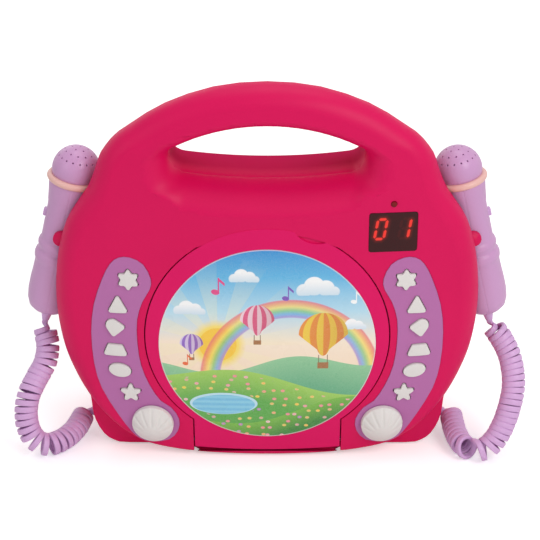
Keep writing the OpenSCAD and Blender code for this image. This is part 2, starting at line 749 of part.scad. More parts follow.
barrel_span = [30, foot_w / 2 - 0.1];
ear_x = foot_w / 2 + lid_gap + 0.2;
ear_t = 3;
latch_half = 5;
latch_z = lid_z + lid_r - 5.5;
notch_r = 16.5;
notch_a = 69.6;
notch_reach = lid_r + 12.2;
notch_depth = lid_t - 0.9;

module lid() {
  color(lid_pink) in_place() difference() {
    union() {
      difference() {
        intersection() {
          lid_blank(0, -over, 14);
          face_ball(0);
        }
        face_ball(lid_t);
      }
      difference() {
        rod_y(0, lid_z, lid_r - 2.6, 3, 8.6);
        rod_y(0, lid_z, lid_r - 4.2, 2, 9);
        block([-foot_w, 1, 0], [foot_w, 10, foot_z + 26]);
        face_ball_outside(lid_t - 0.5);
      }
      both_sides() {
        difference() {
          rod_x(hinge_d, hinge_z, barrel_r, barrel_span[0], barrel_span[1]);
          face_ball_outside(0.5);
        }
        for (x = [barrel_span[0], barrel_span[1] - 3]) difference() {
          block([x, 2, hinge_z], [x + 3, hinge_d + 1.5, hinge_z + 9]);
          face_ball_outside(0.5);
        }
      }
      block([-latch_half, 2.6, latch_z - 1], [latch_half, flange_d + 2.4, latch_z + 1]);
    }
    rod_x(hinge_d, hinge_z, pin_r + fit, -foot_w, foot_w);
    difference() {
      rod_y(notch_reach * cos(notch_a), lid_z + notch_reach * sin(notch_a), notch_r, -over, 12);
      face_ball(notch_depth);
    }
    difference() {
      rod_y(0, insert_z, insert_r + seat, -over, 12);
      face_ball(insert_t + seat);
    }
  }
}

// Everything in front of the face that lies less than depth behind it.
module face_ball_outside(depth) {
  difference() {
    block([-110, -over, -10], [110, 20, 200]);
    face_ball(depth);
  }
}

module lid_insert() {
  color([0.55, 0.80, 0.92]) in_place() difference() {
    intersection() {
      rod_y(0, insert_z, insert_r, -over, 12);
      face_ball(0);
    }
    face_ball(insert_t);
  }
}

module hinge_pin() {
  color(steel) in_place() rod_x(hinge_d, hinge_z, pin_r, -ear_x - ear_t, ear_x + ear_t);
}

// ---- disc deck and drive --------------------------------------------------------------------

flange_t = 1.8;
trough_d = hinge_d + swing_r + 0.35;
ear_z = [foot_z + 1.5, foot_z + 21];
window_z = 8;
frame_d = parting_d;
frame_t = 1.5;
rod_d = frame_d + 8.8;
rod_z = [lid_z + 18, lid_z - 18];
screw_z = lid_z - 28;
rod_span = [14, 78];
lens_x = 24.5;
main_post_x = [-92, -52];
main_post_z = 160;
main_deck_post = [-66, 56];

module disc_deck() {
  color(lid_pink * 0.9) in_place() difference() {
    union() {
      rod_y(0, lid_z, lid_r + 4, flange_d, flange_d + flange_t, $fn = 96);
      rod_y(0, lid_z, well_r + 2.5, flange_d, well_floor_d + deck_t, $fn = 96);
      block([-ear_x - ear_t, ear_d, ear_z[0]], [ear_x + ear_t, trough_d + deck_t, ear_z[1]]);
      for (a = [45:90:315]) rod_y(36 * cos(a), lid_z + 36 * sin(a), 3.4, well_floor_d, frame_d);
      rod_y(main_deck_post[0], main_deck_post[1], 3.2, flange_d, main_board_d - seat);
    }
    rod_y(0, lid_z, well_r, flange_d - 1, well_floor_d, $fn = 96);
    block([-ear_x, flange_d - 1, 0], [ear_x, trough_d, foot_z + 14.5]);
    rod_y(0, lid_z, turntable_r + 2, 0, frame_d);
    block([lens_x - 6, well_floor_d - 1, lid_z - window_z], [lens_x + sled_travel + 4.6, frame_d, lid_z + window_z]);
    rod_x(hinge_d, hinge_z, pin_r + fit, -ear_x - ear_t - 1, ear_x + ear_t + 1);
    block([-latch_half - 0.6, flange_d - 1, latch_z - 1.6], [latch_half + 0.6, flange_d + 4, latch_z + 1.6]);
  }
}

module drive_frame() {
  color(steel) in_place() difference() {
    union() {
      block([-34, frame_d, screw_z - 8], [rod_span[1] + 3, frame_d + frame_t, rod_z[0] + 7]);
      for (z = rod_z) for (x = [rod_span[0] - 2, rod_span[1]])
        block([x, frame_d, z - 3], [x + 2, rod_d + 3, z + 3]);
      block([rod_span[1], frame_d, screw_z - 3], [rod_span[1] + 2, rod_d + 3, screw_z + 3]);
      for (a = [45:90:315]) rod_y(36 * cos(a), lid_z + 36 * sin(a), 3.4, frame_d, frame_d + 3);
    }
    rod_y(0, lid_z, shaft_r + 1.5, frame_d - 1, frame_d + 4);
    block([lens_x - 10, frame_d - 1, screw_z + 3], [rod_span[1] - 3, frame_d + 4, rod_z[0] + 4]);
    for (z = rod_z) rod_x(rod_d, z, rod_r + fit, rod_span[0] - 3, rod_span[1] + 3);
    rod_x(rod_d, screw_z, rod_r + fit, rod_span[1] - 1, rod_span[1] + 3);
    for (a = [45:90:315]) rod_y(36 * cos(a), lid_z + 36 * sin(a), 1.2, frame_d - 1, frame_d + 4);
  }
}

module spindle_motor() {
  color(steel * 0.9) in_place() difference() {
    union() {
      rod_y(0, lid_z, motor_r, frame_d + frame_t + 0.1, frame_d + 12);
      rod_y(0, lid_z, 3, frame_d + 12, frame_d + 14);
      for (s = [-1, 1]) block([s * 5 - 1, frame_d + 12, lid_z - 8], [s * 5 + 1, frame_d + 14, lid_z - 6]);
    }
    rod_y(0, lid_z, shaft_r + fit, frame_d, frame_d + 11);
  }
}

disc_seat_d = well_floor_d - 2.8;

module turntable() {
  color(dark_grey) in_place() difference() {
    union() {
      rod_y(0, lid_z, turntable_r, disc_seat_d, disc_seat_d + 2.2);
      rod_y(0, lid_z, 11, disc_seat_d + 2.1, disc_seat_d + 4);
      intersection() {
        rod_y(0, lid_z, hub_r, disc_seat_d - 4.6, disc_seat_d + 1);
        translate([0, disc_seat_d + 7, lid_z]) sphere(12.2);
      }
      rod_y(0, lid_z, shaft_r, disc_seat_d, frame_d + 10);
    }
    for (a = [90:120:330]) translate([0, 0, lid_z]) rotate([0, a, 0]) translate([0, 0, -lid_z])
      block([hub_r - 2.6, disc_seat_d - 5, lid_z - 1.4], [hub_r - 1.4, disc_seat_d - 0.8, lid_z + 1.4]);
  }
}

module guide_rods() {
  color(steel) in_place() for (z = rod_z) rod_x(rod_d, z, rod_r, rod_span[0] - 2, rod_span[1] + 2);
}

nut_x = rod_span[0] + 9;

module feed_screw() {
  color(steel) in_place() difference() {
    union() {
      rod_x(rod_d, screw_z, rod_r, 7, rod_span[1] + 2);
      rod_x(rod_d, screw_z, shaft_r, -8, 8);
    }
    for (x = [12:2:rod_span[1] - 4]) translate([x, rod_d, screw_z]) rotate([0, 90, 0]) rotate_extrude()
      translate([rod_r - 0.25, 0]) square([1, 0.8]);
  }
}

module feed_motor() {
  color(steel * 0.85) in_place() difference() {
    rod_x(rod_d, screw_z, 7, -16, 6.4);
    rod_x(rod_d, screw_z, shaft_r + fit, -9, 7);
  }
}

module optical_sled() {
  span = [lens_x - 9.5, lens_x + 15];
  color(dark_grey) in_place() difference() {
    union() {
      block([span[0], frame_d + 3.2, rod_z[1] + 4], [span[1], rod_d + 3, rod_z[0] - 4]);
      for (z = rod_z) rod_x(rod_d, z, 3.2, span[0], span[1]);
      for (s = [0, 1]) block([span[0], rod_d - 2, rod_z[1 - s] - 4 - s], [span[1], rod_d + 2, rod_z[1 - s] + 5 - s]);
      rod_x(rod_d, screw_z, 3, span[0] + 4, span[0] + 12);
      block([span[0] + 4, rod_d - 1.8, screw_z], [span[0] + 12, rod_d + 1.8, rod_z[1] - 2]);
      rod_y(lens_x, lid_z, 4, frame_d - 6, frame_d + 4);
    }
    for (z = rod_z) rod_x(rod_d, z, rod_r + fit, span[0] - 1, span[1] + 1);
    rod_x(rod_d, screw_z, rod_r + fit, span[0], span[1]);
    rod_y(lens_x, lid_z, 3, frame_d - 7, frame_d - 4);
  }
}

module lens() {
  color([0.55, 0.6, 0.8]) in_place() intersection() {
    rod_y(lens_x, lid_z, 2.8, frame_d - 7, frame_d - 4);
    translate([lens_x, frame_d - 1.2, lid_z]) sphere(5.2);
  }
}

// ---- electronics and power -----------------------------------------------------------------------

module main_board() {
  x0 = -100;
  color(board_green) in_place() {
    difference() {
      along_y(main_board_d, main_board_d + board_t) polygon([
        [x0, 130], [x0 + 6, 168], [-46, 168], [-40, 118], [-46, 50], [-84, 50], [x0, 76]
      ]);
      for (x = main_post_x) rod_y(x, main_post_z, 1.2, main_board_d - 1, main_board_d + 3, $fn = 24);
    }
    block([-88, main_board_d + board_t, 96], [-70, main_board_d + board_t + 2.4, 114]);
    block([-62, main_board_d + board_t, 126], [-52, main_board_d + board_t + 2, 142]);
    for (i = [0:2]) rod_y(-84 + 12 * i, 78, 4, main_board_d + board_t, main_board_d + board_t + 9);
    block([-70, main_board_d + board_t, 56], [-50, main_board_d + board_t + 7, 64]);
  }
}

module speaker() {
  color(dark_grey) in_place() in_speaker() translate([0, 0, -0.4]) {
    difference() {
      union() {
        translate([0, 0, -2.4]) cylinder(r = speaker_r, h = 2.4);
        translate([0, 0, -12]) cylinder(r1 = 19, r2 = speaker_r - 3, h = 10);
        translate([0, 0, -22]) cylinder(r = 16, h = 10.1);
      }
      translate([0, 0, -8]) cylinder(r1 = 12, r2 = speaker_r - 5, h = 8 + eps);
    }
    translate([0, 0, -9]) cylinder(r = 9, h = 4);
  }
}

bay_low = [-battery_w / 2 - bay_t, bay_d - bay_t, bay_z];
bay_high = [battery_w / 2 + bay_t, body_depth - wall - 0.4, bay_z + battery_h + 2 * bay_t];

module battery_bay() {
  color(dark_grey) in_place() difference() {
    block(bay_low, bay_high);
    block(bay_low + [bay_t, bay_t, bay_t], bay_high + [-bay_t, over, -bay_t]);
    block([-battery_w / 2 - 1.2, body_depth - wall - 1.2, bay_z + 0.8],
          [battery_w / 2 + 1.2, body_depth, bay_z + battery_h + 2 * bay_t - 0.8]);
  }
}

module battery_contacts() {
  color(steel) in_place() both_sides() for (row = [0, 1]) {
    z = bay_z + bay_t + battery_h * (0.25 + 0.5 * row);
    x = battery_w / 2;
    block([x - 0.8, bay_d + 6, z - 9], [x - 0.2, body_depth - 14, z + 9]);
    for (i = [0:3]) rod_x((bay_d + body_depth) / 2 - 4, z, 7 - 1.2 * i, x - 0.8 - 1.5 * (i + 1), x - 0.8 - 1.5 * i + eps);
  }
}

module battery_door() {
  w = battery_w + 2 * 1.2 - 0.8;
  low = bay_z + 0.8 + 0.4;
  high = bay_z + battery_h + 2 * bay_t - 0.8 - 0.4;
  color(pink) in_place() difference() {
    union() {
      block([-w / 2, body_depth - door_t, low], [w / 2, body_depth - 0.1, high]);
      for (x = [-38, 30]) block([x, body_depth - 6, low + 1.6], [x + 8, body_depth - door_t + eps, low + 3]);
      for (x = [-40 : 20 : 40]) block([x - 0.8, body_depth - 4.2, low + 4], [x + 0.8, body_depth - door_t + eps, high - 4]);
    }
    for (i = [-3:3]) block([-7, body_depth - 0.6, high - 8 + 0.9 * i], [7, body_depth, high - 7.6 + 0.9 * i]);
  }
}

module dc_jack() {
  color(dark_grey) in_place() difference() {
    union() {
      block([jack_x - 6, body_depth - 16, jack_z - 6], [jack_x + 6, body_depth - wall - 0.3, jack_z + 6]);
      rod_y(jack_x, jack_z, 5, body_depth - 5, body_depth - 0.5);
    }
    rod_y(jack_x, jack_z, jack_r, body_depth - 11, body_depth);
  }
}

module feet() {
  color(dark_grey) in_place() both_sides() for (d = [parting_d + foot_place[1], body_depth - foot_place[1]])
    translate([foot_place[0], d, 0]) {
      cylinder(r1 = foot_r - 0.6, r2 = foot_r, h = 0.6);
      translate([0, 0, 0.6 - eps]) cylinder(r = foot_r, h = foot_h + foot_sunk - 0.65);
    }
}

module shell_screws() {
  color(steel) in_place() for (p = post_places) both_sides() difference() {
    union() {
      rod_y(p[0], p[1], screw_r, parting_d - 10, screw_head_d + eps);
      rod_y(p[0], p[1], screw_head_r, screw_head_d, screw_head_d + 2);
    }
    block([p[0] - 2, screw_head_d + 1.2, p[1] - 0.3], [p[0] + 2, screw_head_d + 3, p[1] + 0.3]);
    block([p[0] - 0.3, screw_head_d + 1.2, p[1] - 2], [p[0] + 0.3, screw_head_d + 3, p[1] + 2]);
  }
}

grommet_end = half_w - 13.8;

module cord_grommets() {
  color(cord_lilac * 0.85) in_place() both_sides() difference() {
    translate([0, port_d, port_z]) rotate([0, 90, 0]) {
      translate([0, 0, half_w - 33]) cylinder(r = port_r - 0.2, h = 14.8 + eps);
      translate([0, 0, half_w - 33]) cylinder(r = port_r + 0.8, h = 2);
      translate([0, 0, half_w - 18.2]) cylinder(r1 = port_r - 0.2, r2 = cord_dia / 2 + 0.7, h = grommet_end - half_w + 18.2);
    }
    rod_x(port_d, port_z, cord_dia / 2 + 0.05, half_w - 34, half_w);
  }
}

// ---- microphones --------------------------------------------------------------------------------------

module on_mic(side) {
  in_place() translate([side * mic_x, mic_d, mic_z]) rotate([0, -side * mic_tilt, 0]) children();
}

ring_l = [mic_neck_l, mic_neck_l + mic_ring_h];
head_l = ring_l[1] + 4.4;
switch_l = mic_neck_l - 22.5;

// Radius of the handle at each distance from its lower end: bulb, two ridges, straight grip, flared neck.
mic_profile = [
  [6, 0], [9.5, 0.6], [12, 2.8], [13.6, 7], [14.3, 13], [14.3, 20], [13.9, 28], [13.8, 34.5],
  [14.6, 36.4], [14.8, 38.6], [14.4, 40.6], [13.3, 42.2], [13.3, 43.8], [13.9, 45.2], [14, 46.6], [13.6, 48.2],
  [mic_grip_r, 49.6], [mic_grip_r, switch_l], [mic_grip_r + 0.3, switch_l + 8], [mic_grip_r + 1.1, switch_l + 15],
  [mic_grip_r + 2.2, ring_l[0]], [0, ring_l[0]], [0, 0]
];

switch_r = mic_grip_r - 2.6;

// One half of a handle: the outer one, with the slot of the switch, or the inner one, which the clip holds.
module mic_half(side, outer) {
  color(mic_lilac) on_mic(side) scale_x(side) difference() {
    intersection() {
      rotate_extrude($fn = 64) polygon(mic_profile);
      translate([outer ? 0 : -30, -30, -1]) cube([30, 60, 100]);
    }
    translate([switch_r, -3.2, switch_l - 5]) cube([8, 6.4, 8 + switch_travel + 2]);
    translate([0, 0, -1]) cylinder(r = 3.2, h = 9);
  }
}

// The outer side of a microphone, away from the housing.
module scale_x(side) {
  mirror([side < 0 ? 1 : 0, 0, 0]) children();
}

module mic_switch(side) {
  color(key_white) on_mic(side) scale_x(side) {
    translate([switch_r + 0.4, -2.8, switch_l - 4.6]) cube([1.6, 5.6, 8]);
    translate([switch_r + 1.8, -2, switch_l - 3]) cube([2, 4, 4.6]);
    for (k = [0:2]) translate([switch_r + 3.7, -2, switch_l - 2.6 + 1.5 * k]) cube([0.5, 4, 0.7]);
  }
}

module mic_ring(side) {
  mid = (ring_l[0] + ring_l[1]) / 2;
  round_r = mic_ring_h / 2 - 0.02;
  color(peach) on_mic(side) rotate_extrude($fn = 64) polygon(concat(
    [[12.4, mid - round_r]],
    [for (a = [-90:22.5:90]) [mic_ring_r - round_r + round_r * cos(a), mid + round_r * sin(a)]],
    [[12.4, mid + round_r]]
  ));
}

module mic_head(side) {
  color(mic_lilac) on_mic(side) difference() {
    union() {
      intersection() {
        translate([0, 0, head_l]) sphere(mic_head_r, $fn = 64);
        translate([-30, -30, ring_l[1] + 0.02]) cube([60, 60, 30]);
      }
      translate([0, 0, ring_l[0] + 0.02]) cylinder(r = 12.3, h = ring_l[1] - ring_l[0] + 0.5);
    }
    translate([0, 0, head_l]) for (row = [0:3]) for (k = [0:max(1, 6 * row) - 1])
      rotate([0, 0, 360 / max(1, 6 * row) * k]) rotate([0, 19 * row, 0]) translate([0, 0, mic_head_r - 1.6])
        cylinder(r = 0.6, h = 3, $fn = 12);
  }
}

relief_l = 8;

module mic_relief(side) {
  color(mic_lilac * 0.9) on_mic(side) difference() {
    union() {
      translate([0, 0, 0.1]) cylinder(r = 3.1, h = 7);
      translate([0, 0, -0.5]) cylinder(r = 4.6, h = 0.45);
      translate([0, 0, -relief_l]) cylinder(r1 = cord_dia / 2 + 0.8, r2 = 4, h = relief_l - 0.4);
      translate([0, 0, -0.6]) cylinder(r = 3.1, h = 1);
    }
    translate([0, 0, -relief_l - 1]) cylinder(r = cord_dia / 2 + 0.05, h = 3);
  }
}

module mic_left_outer() { mic_half(-1, true); }
module mic_left_inner() { mic_half(-1, false); }
module mic_left_ring() { mic_ring(-1); }
module mic_left_head() { mic_head(-1); }
module mic_left_relief() { mic_relief(-1); }
module mic_left_switch() { mic_switch(-1); }
module mic_right_outer() { mic_half(1, true); }
module mic_right_inner() { mic_half(1, false); }
module mic_right_ring() { mic_ring(1); }
module mic_right_head() { mic_head(1); }
module mic_right_relief() { mic_relief(1); }
module mic_right_switch() { mic_switch(1); }

// ---- curly cords ------------------------------------------------------------------------------------------

// Points that each cord's middle line follows, as x, depth and height, from the microphone to the port.
left_route = [
  [-139.4, 40, 81.65], [-140.2, 39.6, 77.8], [-139.4, 37.6, 73], [-138, 33.5, 66], [-139.5, 28, 57.5], [-144.5, 22, 49.5], [-149, 16, 41.5],
  [-151, 12, 32], [-150, 9, 21.5], [-145.5, 8, 12.5], [-138, 10, 8.2], [-130, 16.5, 7.7], [-124, 26, 8.2],
  [-120.5, 35, 10], [-119, 41, 11.5], [-116.5, 44.5, 12], [-114.5, 45, 12]
];
right_route = [
  [139.4, 40, 81.65], [140.8, 39.7, 77.8], [146.5, 37.3, 71], [152, 32, 61.5], [154.5, 26, 51], [154.5, 21, 42],
  [152.3, 16, 33], [149, 12, 23.5], [144, 8, 14.5], [137.5, 5, 8.8], [130.5, 4, 7.7], [124.8, 8, 7.7],
  [121.8, 16, 7.8], [120, 26, 8.6], [119.3, 34, 10], [118.6, 41, 11.5], [116.5, 44.5, 12], [114.5, 45, 12]
];

route_steps = 8;
curl_r = (curl_dia - cord_dia) / 2;
rings_per_curl = 8;
cord_sides = 6;
lead = 5;            // length of plain cord at each end of the curls

function route_line(p) = let (m = len(p)) concat([
  for (i = [0:m - 2]) for (k = [0:route_steps - 1])
    spline_point(p[max(i - 1, 0)], p[i], p[i + 1], p[min(i + 2, m - 1)], k / route_steps)
], [p[m - 1]]);

function unit(v) = v / norm(v);

function tangents(p) = let (m = len(p)) [for (i = [0:m - 1]) unit(p[min(i + 1, m - 1)] - p[max(i - 1, 0)])];

function lengths(p) = [for (i = 0, s = 0; i < len(p); s = s + (i + 1 < len(p) ? norm(p[i + 1] - p[i]) : 0), i = i + 1) s];

// Directions square to the line that turn as little as they can along it.
function side_axes(t, first) = [
  for (i = 0, n = unit(first - (first * t[0]) * t[0]); i < len(t);
       i = i + 1, n = i < len(t) ? unit(n - (n * t[i]) * t[i]) : n) n
];

// Angle turned by the curls at each point: fewer turns go round a bend, so that its inner side stays open.
function curl_angles(p, t, s) = let (m = len(p)) [
  for (i = 0, a = 0; i < m;
       a = a + (i + 1 < m && s[i] > lead && s[i + 1] < s[m - 1] - lead
                ? let (ds = s[i + 1] - s[i], bend = norm(t[i + 1] - t[i]) / ds) 360 * ds * (1 - curl_r * bend) / curl_pitch : 0),
       i = i + 1) a
];

function column(keys, list, k) = [for (i = [0:len(keys) - 1]) [keys[i], list[i][k]]];

function look3(key, tables) = [lookup(key, tables[0]), lookup(key, tables[1]), lookup(key, tables[2])];

// The line of the curled cord itself, with a straight end of lead at each side.
function curled(route) = let (
    p = route_line(route), t = tangents(p), s = lengths(p), n = side_axes(t, [0, 1, 0.3]), a = curl_angles(p, t, s),
    last = len(p) - 1, inner = [for (i = [0:last]) if (s[i] > lead && s[i] < s[last] - lead) i],
    keys = [for (i = inner) a[i]], pt = [for (i = inner) p[i]], tt = [for (i = inner) t[i]], nt = [for (i = inner) n[i]],
    pp = [for (k = [0:2]) column(keys, pt, k)], nn = [for (k = [0:2]) column(keys, nt, k)],
    tv = [for (k = [0:2]) column(keys, tt, k)],
    a0 = keys[0], curls = floor((keys[len(keys) - 1] - a0) / 360), step = 360 / rings_per_curl
  )
  concat(
    [p[0] - t[0] * 0.01, pt[0]],
    [for (i = [1:curls * rings_per_curl - 1])
      let (
        da = i * step, key = a0 + da, c = look3(key, pp), u0 = unit(look3(key, nn)), v = unit(look3(key, tv)),
        u = unit(u0 - (u0 * v) * v), w = cross(v, u), r = curl_r * min(1, min(da, curls * 360 - da) / 135)
      ) c + r * (cos(da) * u + sin(da) * w)],
    [look3(a0 + curls * 360, pp)],
    [for (i = [0:last]) if (s[i] >= s[last] - lead && i % 4 == 0 || i == last) p[i]]
  );

module tube(line) {
  t = tangents(line);
  n = side_axes(t, [0, 1, 0.3]);
  loft([for (i = [0:len(line) - 1]) [for (k = [0:cord_sides - 1])
    let (b = 360 * k / cord_sides) line[i] + cord_dia / 2 * (cos(b) * n[i] + sin(b) * cross(t[i], n[i]))]],
    line[0], line[len(line) - 1]);
}

left_curls = curled(left_route);
right_curls = curled(right_route);

function least_gap(line) = min([
  for (i = [0:len(line) - 1]) for (j = [i + 5:len(line) - 1]) norm(line[i] - line[j])
]) - cord_dia;

union() {
  echo(left_gap = least_gap(left_curls), right_gap = least_gap(right_curls),
       rings = len(left_curls) + len(right_curls), length = last_of(lengths(left_curls)));
}

function last_of(list) = list[len(list) - 1];

module cord_left() {
  color(cord_lilac) in_place() tube(left_curls);
}

module cord_right() {
  color(cord_lilac) in_place() tube(right_curls);
}

front_shell();
rear_shell();
disc_deck();
hinge_pin();
left_panel();
right_panel();
display_window();
display_module();
program_led();
main_board();
key_boards();
drive_frame();
spindle_motor();
guide_rods();
feed_motor();
speaker();
battery_bay();
battery_contacts();
dial_pots();
dc_jack();
feet();
shell_screws();
cord_grommets();
cord_left();
cord_right();
lid();
lid_insert();
turntable();
optical_sled();
lens();
feed_screw();
battery_door();
left_star_key();
left_triangle_key();
left_pick_key();
left_trapezoid_key();
left_oval_key();
left_point_key();
right_star_key();
right_triangle_key();
right_pick_key();
right_trapezoid_key();
right_oval_key();
right_point_key();
left_knob();
right_knob();
mic_left_outer();
mic_left_inner();
mic_left_ring();
mic_left_head();
mic_left_relief();
mic_left_switch();
mic_right_outer();
mic_right_inner();
mic_right_ring();
mic_right_head();
mic_right_relief();
mic_right_switch();
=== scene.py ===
import json
import math

import bmesh
import bpy
import numpy as np
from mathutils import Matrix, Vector
from mathutils.bvhtree import BVHTree
from mathutils.kdtree import KDTree
from mathutils.interpolate import poly_3d_calc

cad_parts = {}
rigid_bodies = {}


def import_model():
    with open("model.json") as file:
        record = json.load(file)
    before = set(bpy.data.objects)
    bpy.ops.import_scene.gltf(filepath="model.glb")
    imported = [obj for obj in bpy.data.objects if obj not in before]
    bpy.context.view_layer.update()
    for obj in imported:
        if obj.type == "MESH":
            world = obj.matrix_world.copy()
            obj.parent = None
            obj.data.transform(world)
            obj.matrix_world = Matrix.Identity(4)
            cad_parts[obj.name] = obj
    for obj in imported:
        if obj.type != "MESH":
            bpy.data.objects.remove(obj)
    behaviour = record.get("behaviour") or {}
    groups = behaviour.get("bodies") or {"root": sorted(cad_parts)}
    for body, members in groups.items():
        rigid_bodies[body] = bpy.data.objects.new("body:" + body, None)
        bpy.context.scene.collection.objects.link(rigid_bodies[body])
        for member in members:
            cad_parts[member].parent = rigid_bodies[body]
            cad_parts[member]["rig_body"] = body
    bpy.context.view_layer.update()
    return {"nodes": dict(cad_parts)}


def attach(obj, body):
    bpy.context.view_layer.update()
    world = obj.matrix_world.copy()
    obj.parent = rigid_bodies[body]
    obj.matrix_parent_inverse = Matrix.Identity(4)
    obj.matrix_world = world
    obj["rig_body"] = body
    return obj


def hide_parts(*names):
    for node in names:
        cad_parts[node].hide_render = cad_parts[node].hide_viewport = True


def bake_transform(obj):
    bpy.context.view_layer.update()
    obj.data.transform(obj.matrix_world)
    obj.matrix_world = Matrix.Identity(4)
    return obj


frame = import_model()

scene = bpy.context.scene
scene.view_settings.view_transform = "Standard"

# Lengths in the settings are millimetres, measured as on the drawing: x to the right, depth behind the
# crown of the face, height above the floor.
housing = {"depth": 92, "faceRadius": 850, "faceMiddle": 120}


def place(x, depth, z):
    return Vector((x, depth - housing["depth"] / 2, z)) / 1000


def faceDepth(x, z):
    radius = housing["faceRadius"]
    return radius - math.sqrt(radius**2 - x**2 - (z - housing["faceMiddle"]) ** 2)


def smoothStep(t):
    t = min(1, max(0, t))
    return t * t * (3 - 2 * t)


def paint(red, green, blue):
    def straight(level):
        level /= 255
        return level / 12.92 if level <= 0.04045 else ((level + 0.055) / 1.055) ** 2.4

    return (straight(red), straight(green), straight(blue), 1)


def meshOf(work, name, sharp=None):  # smooth, but for the edges that turn more than this many degrees
    mesh = bpy.data.meshes.new(name)
    work.to_mesh(mesh)
    work.free()
    if sharp:
        mesh.shade_smooth()
        mesh.set_sharp_from_angle(angle=math.radians(sharp))
    return mesh


def addObject(name, data):
    made = bpy.data.objects.new(name, data)
    scene.collection.objects.link(made)
    return made


# Camera, at the angle of the photograph.
cameraSettings = {"lens": 110.2, "sensor": 36, "pitch": 26, "at": (1.708, -880.01, 564.73), "clip": (0.05, 20)}


def addCamera():
    data = bpy.data.cameras.new("camera")
    data.lens, data.sensor_width = cameraSettings["lens"], cameraSettings["sensor"]
    data.clip_start, data.clip_end = cameraSettings["clip"]
    camera = addObject("camera", data)
    camera.location = place(*cameraSettings["at"])
    camera.rotation_euler = (math.radians(90 - cameraSettings["pitch"]), 0, 0)
    scene.camera = camera


addCamera()
print("camera set")


def sumOf(operation, turned=False):  # turned: the wire is the second of the two values
    return lambda wire, other: wire.nodes.sums(operation, *((other, wire) if turned else (wire, other)))


class Wire:  # a socket of a node tree: sums on it are written as Python expressions
    __add__ = __radd__ = sumOf("ADD")
    __mul__ = __rmul__ = sumOf("MULTIPLY")
    __sub__, __rsub__ = sumOf("SUBTRACT"), sumOf("SUBTRACT", turned=True)
    __truediv__, __rtruediv__ = sumOf("DIVIDE"), sumOf("DIVIDE", turned=True)
    __pow__, atLeast, atMost = sumOf("POWER"), sumOf("MAXIMUM"), sumOf("MINIMUM")

    def __init__(self, nodes, socket):
        self.nodes, self.socket = nodes, socket

    def __abs__(self):
        return self.maths("ABSOLUTE")

    def maths(self, operation, *others, clamp=False):
        return self.nodes.sums(operation, self, *others, clamp=clamp)

    def step(self, width):  # 1 where this is below 0, soft over width
        return self.maths("MULTIPLY_ADD", -1 / width, 0.5, clamp=True)


class Nodes:
    def __init__(self, tree):
        self.tree = tree

    def set(self, node, socket, value):
        socket = node.inputs[socket]
        if isinstance(value, Wire):
            self.tree.links.new(value.socket, socket)
        elif socket.type == "RGBA" and len(value) == 3:
            socket.default_value = paint(*value)
        else:
            socket.default_value = value

    def node(self, kind, settings=None, sockets=None, output=0):
        made = self.tree.nodes.new(kind)
        for name, value in (settings or {}).items():
            if name == "stops":
                ramp = made.color_ramp
                while len(ramp.elements) < len(value):
                    ramp.elements.new(1)
                for stop, (at, colour) in zip(ramp.elements, value):
                    stop.position, stop.color = at, paint(*colour)
            else:
                setattr(made, name, value)
        for name, value in (sockets or {}).items():
            self.set(made, name, value)
        return Wire(self, made.outputs[output])

    def sums(self, operation, *values, clamp=False):
        return self.node("ShaderNodeMath", {"operation": operation, "use_clamp": clamp}, dict(enumerate(values)))

    def mixed(self, share, first, second):
        return self.node("ShaderNodeMix", {"data_type": "RGBA"}, {0: share, 6: first, 7: second}, output=2)


finishes = {}


class Finish(Nodes):
    def __init__(self, name, **fixed):
        finishes[name] = bpy.data.materials.new(name)
        finishes[name].use_nodes = True
        super().__init__(finishes[name].node_tree)
        self.surface = self.tree.nodes["Principled BSDF"]
        for socket, value in fixed.items():
            self.set(self.surface, socket.replace("_", " "), value)

    def position(self):
        return self.node("ShaderNodeTexCoord", output="Object")

    def drawing(self, axes="xz"):  # places on the piece along these axes, in millimetres
        parts = self.node("ShaderNodeSeparateXYZ", {}, {0: self.position()}).socket.node
        return [Wire(self, parts.outputs[axis.upper()]) * 1000 for axis in axes]

    def noise(self, scale, detail, stretch=None):
        at = self.position()
        if stretch:
            at = self.node("ShaderNodeMapping", {}, {"Vector": at, "Scale": stretch})
        return self.node("ShaderNodeTexNoise", {}, {"Vector": at, "Scale": scale, "Detail": detail})

    def colour(self, value):
        self.set(self.surface, "Base Color", value)

    def rough(self, value):
        self.set(self.surface, "Roughness", value)

    def bump(self, height, distance, rounded=None):
        sockets = {"Height": height, "Distance": distance}
        if rounded:
            sockets["Normal"] = self.node("ShaderNodeBevel", {"samples": 6}, {"Radius": rounded})
        self.set(self.surface, "Normal", self.node("ShaderNodeBump", {}, sockets))


# Where the handle opening passes through: a duller skin than the polished face has, and painted shade, a darker colour
# that stands in for the shadow the grip casts into the hole.
throat = {"middle": 199, "halfHeight": 24, "halfWidth": 62, "front": -17, "soft": 12, "dull": 0.4, "deep": 0.3}


def insideThroat(finish):
    x, y, z = finish.drawing("xyz")
    beside = (abs(x) - throat["halfWidth"]).atLeast(abs(z - throat["middle"]) - throat["halfHeight"])
    return beside.atLeast(throat["front"] - y).step(throat["soft"])


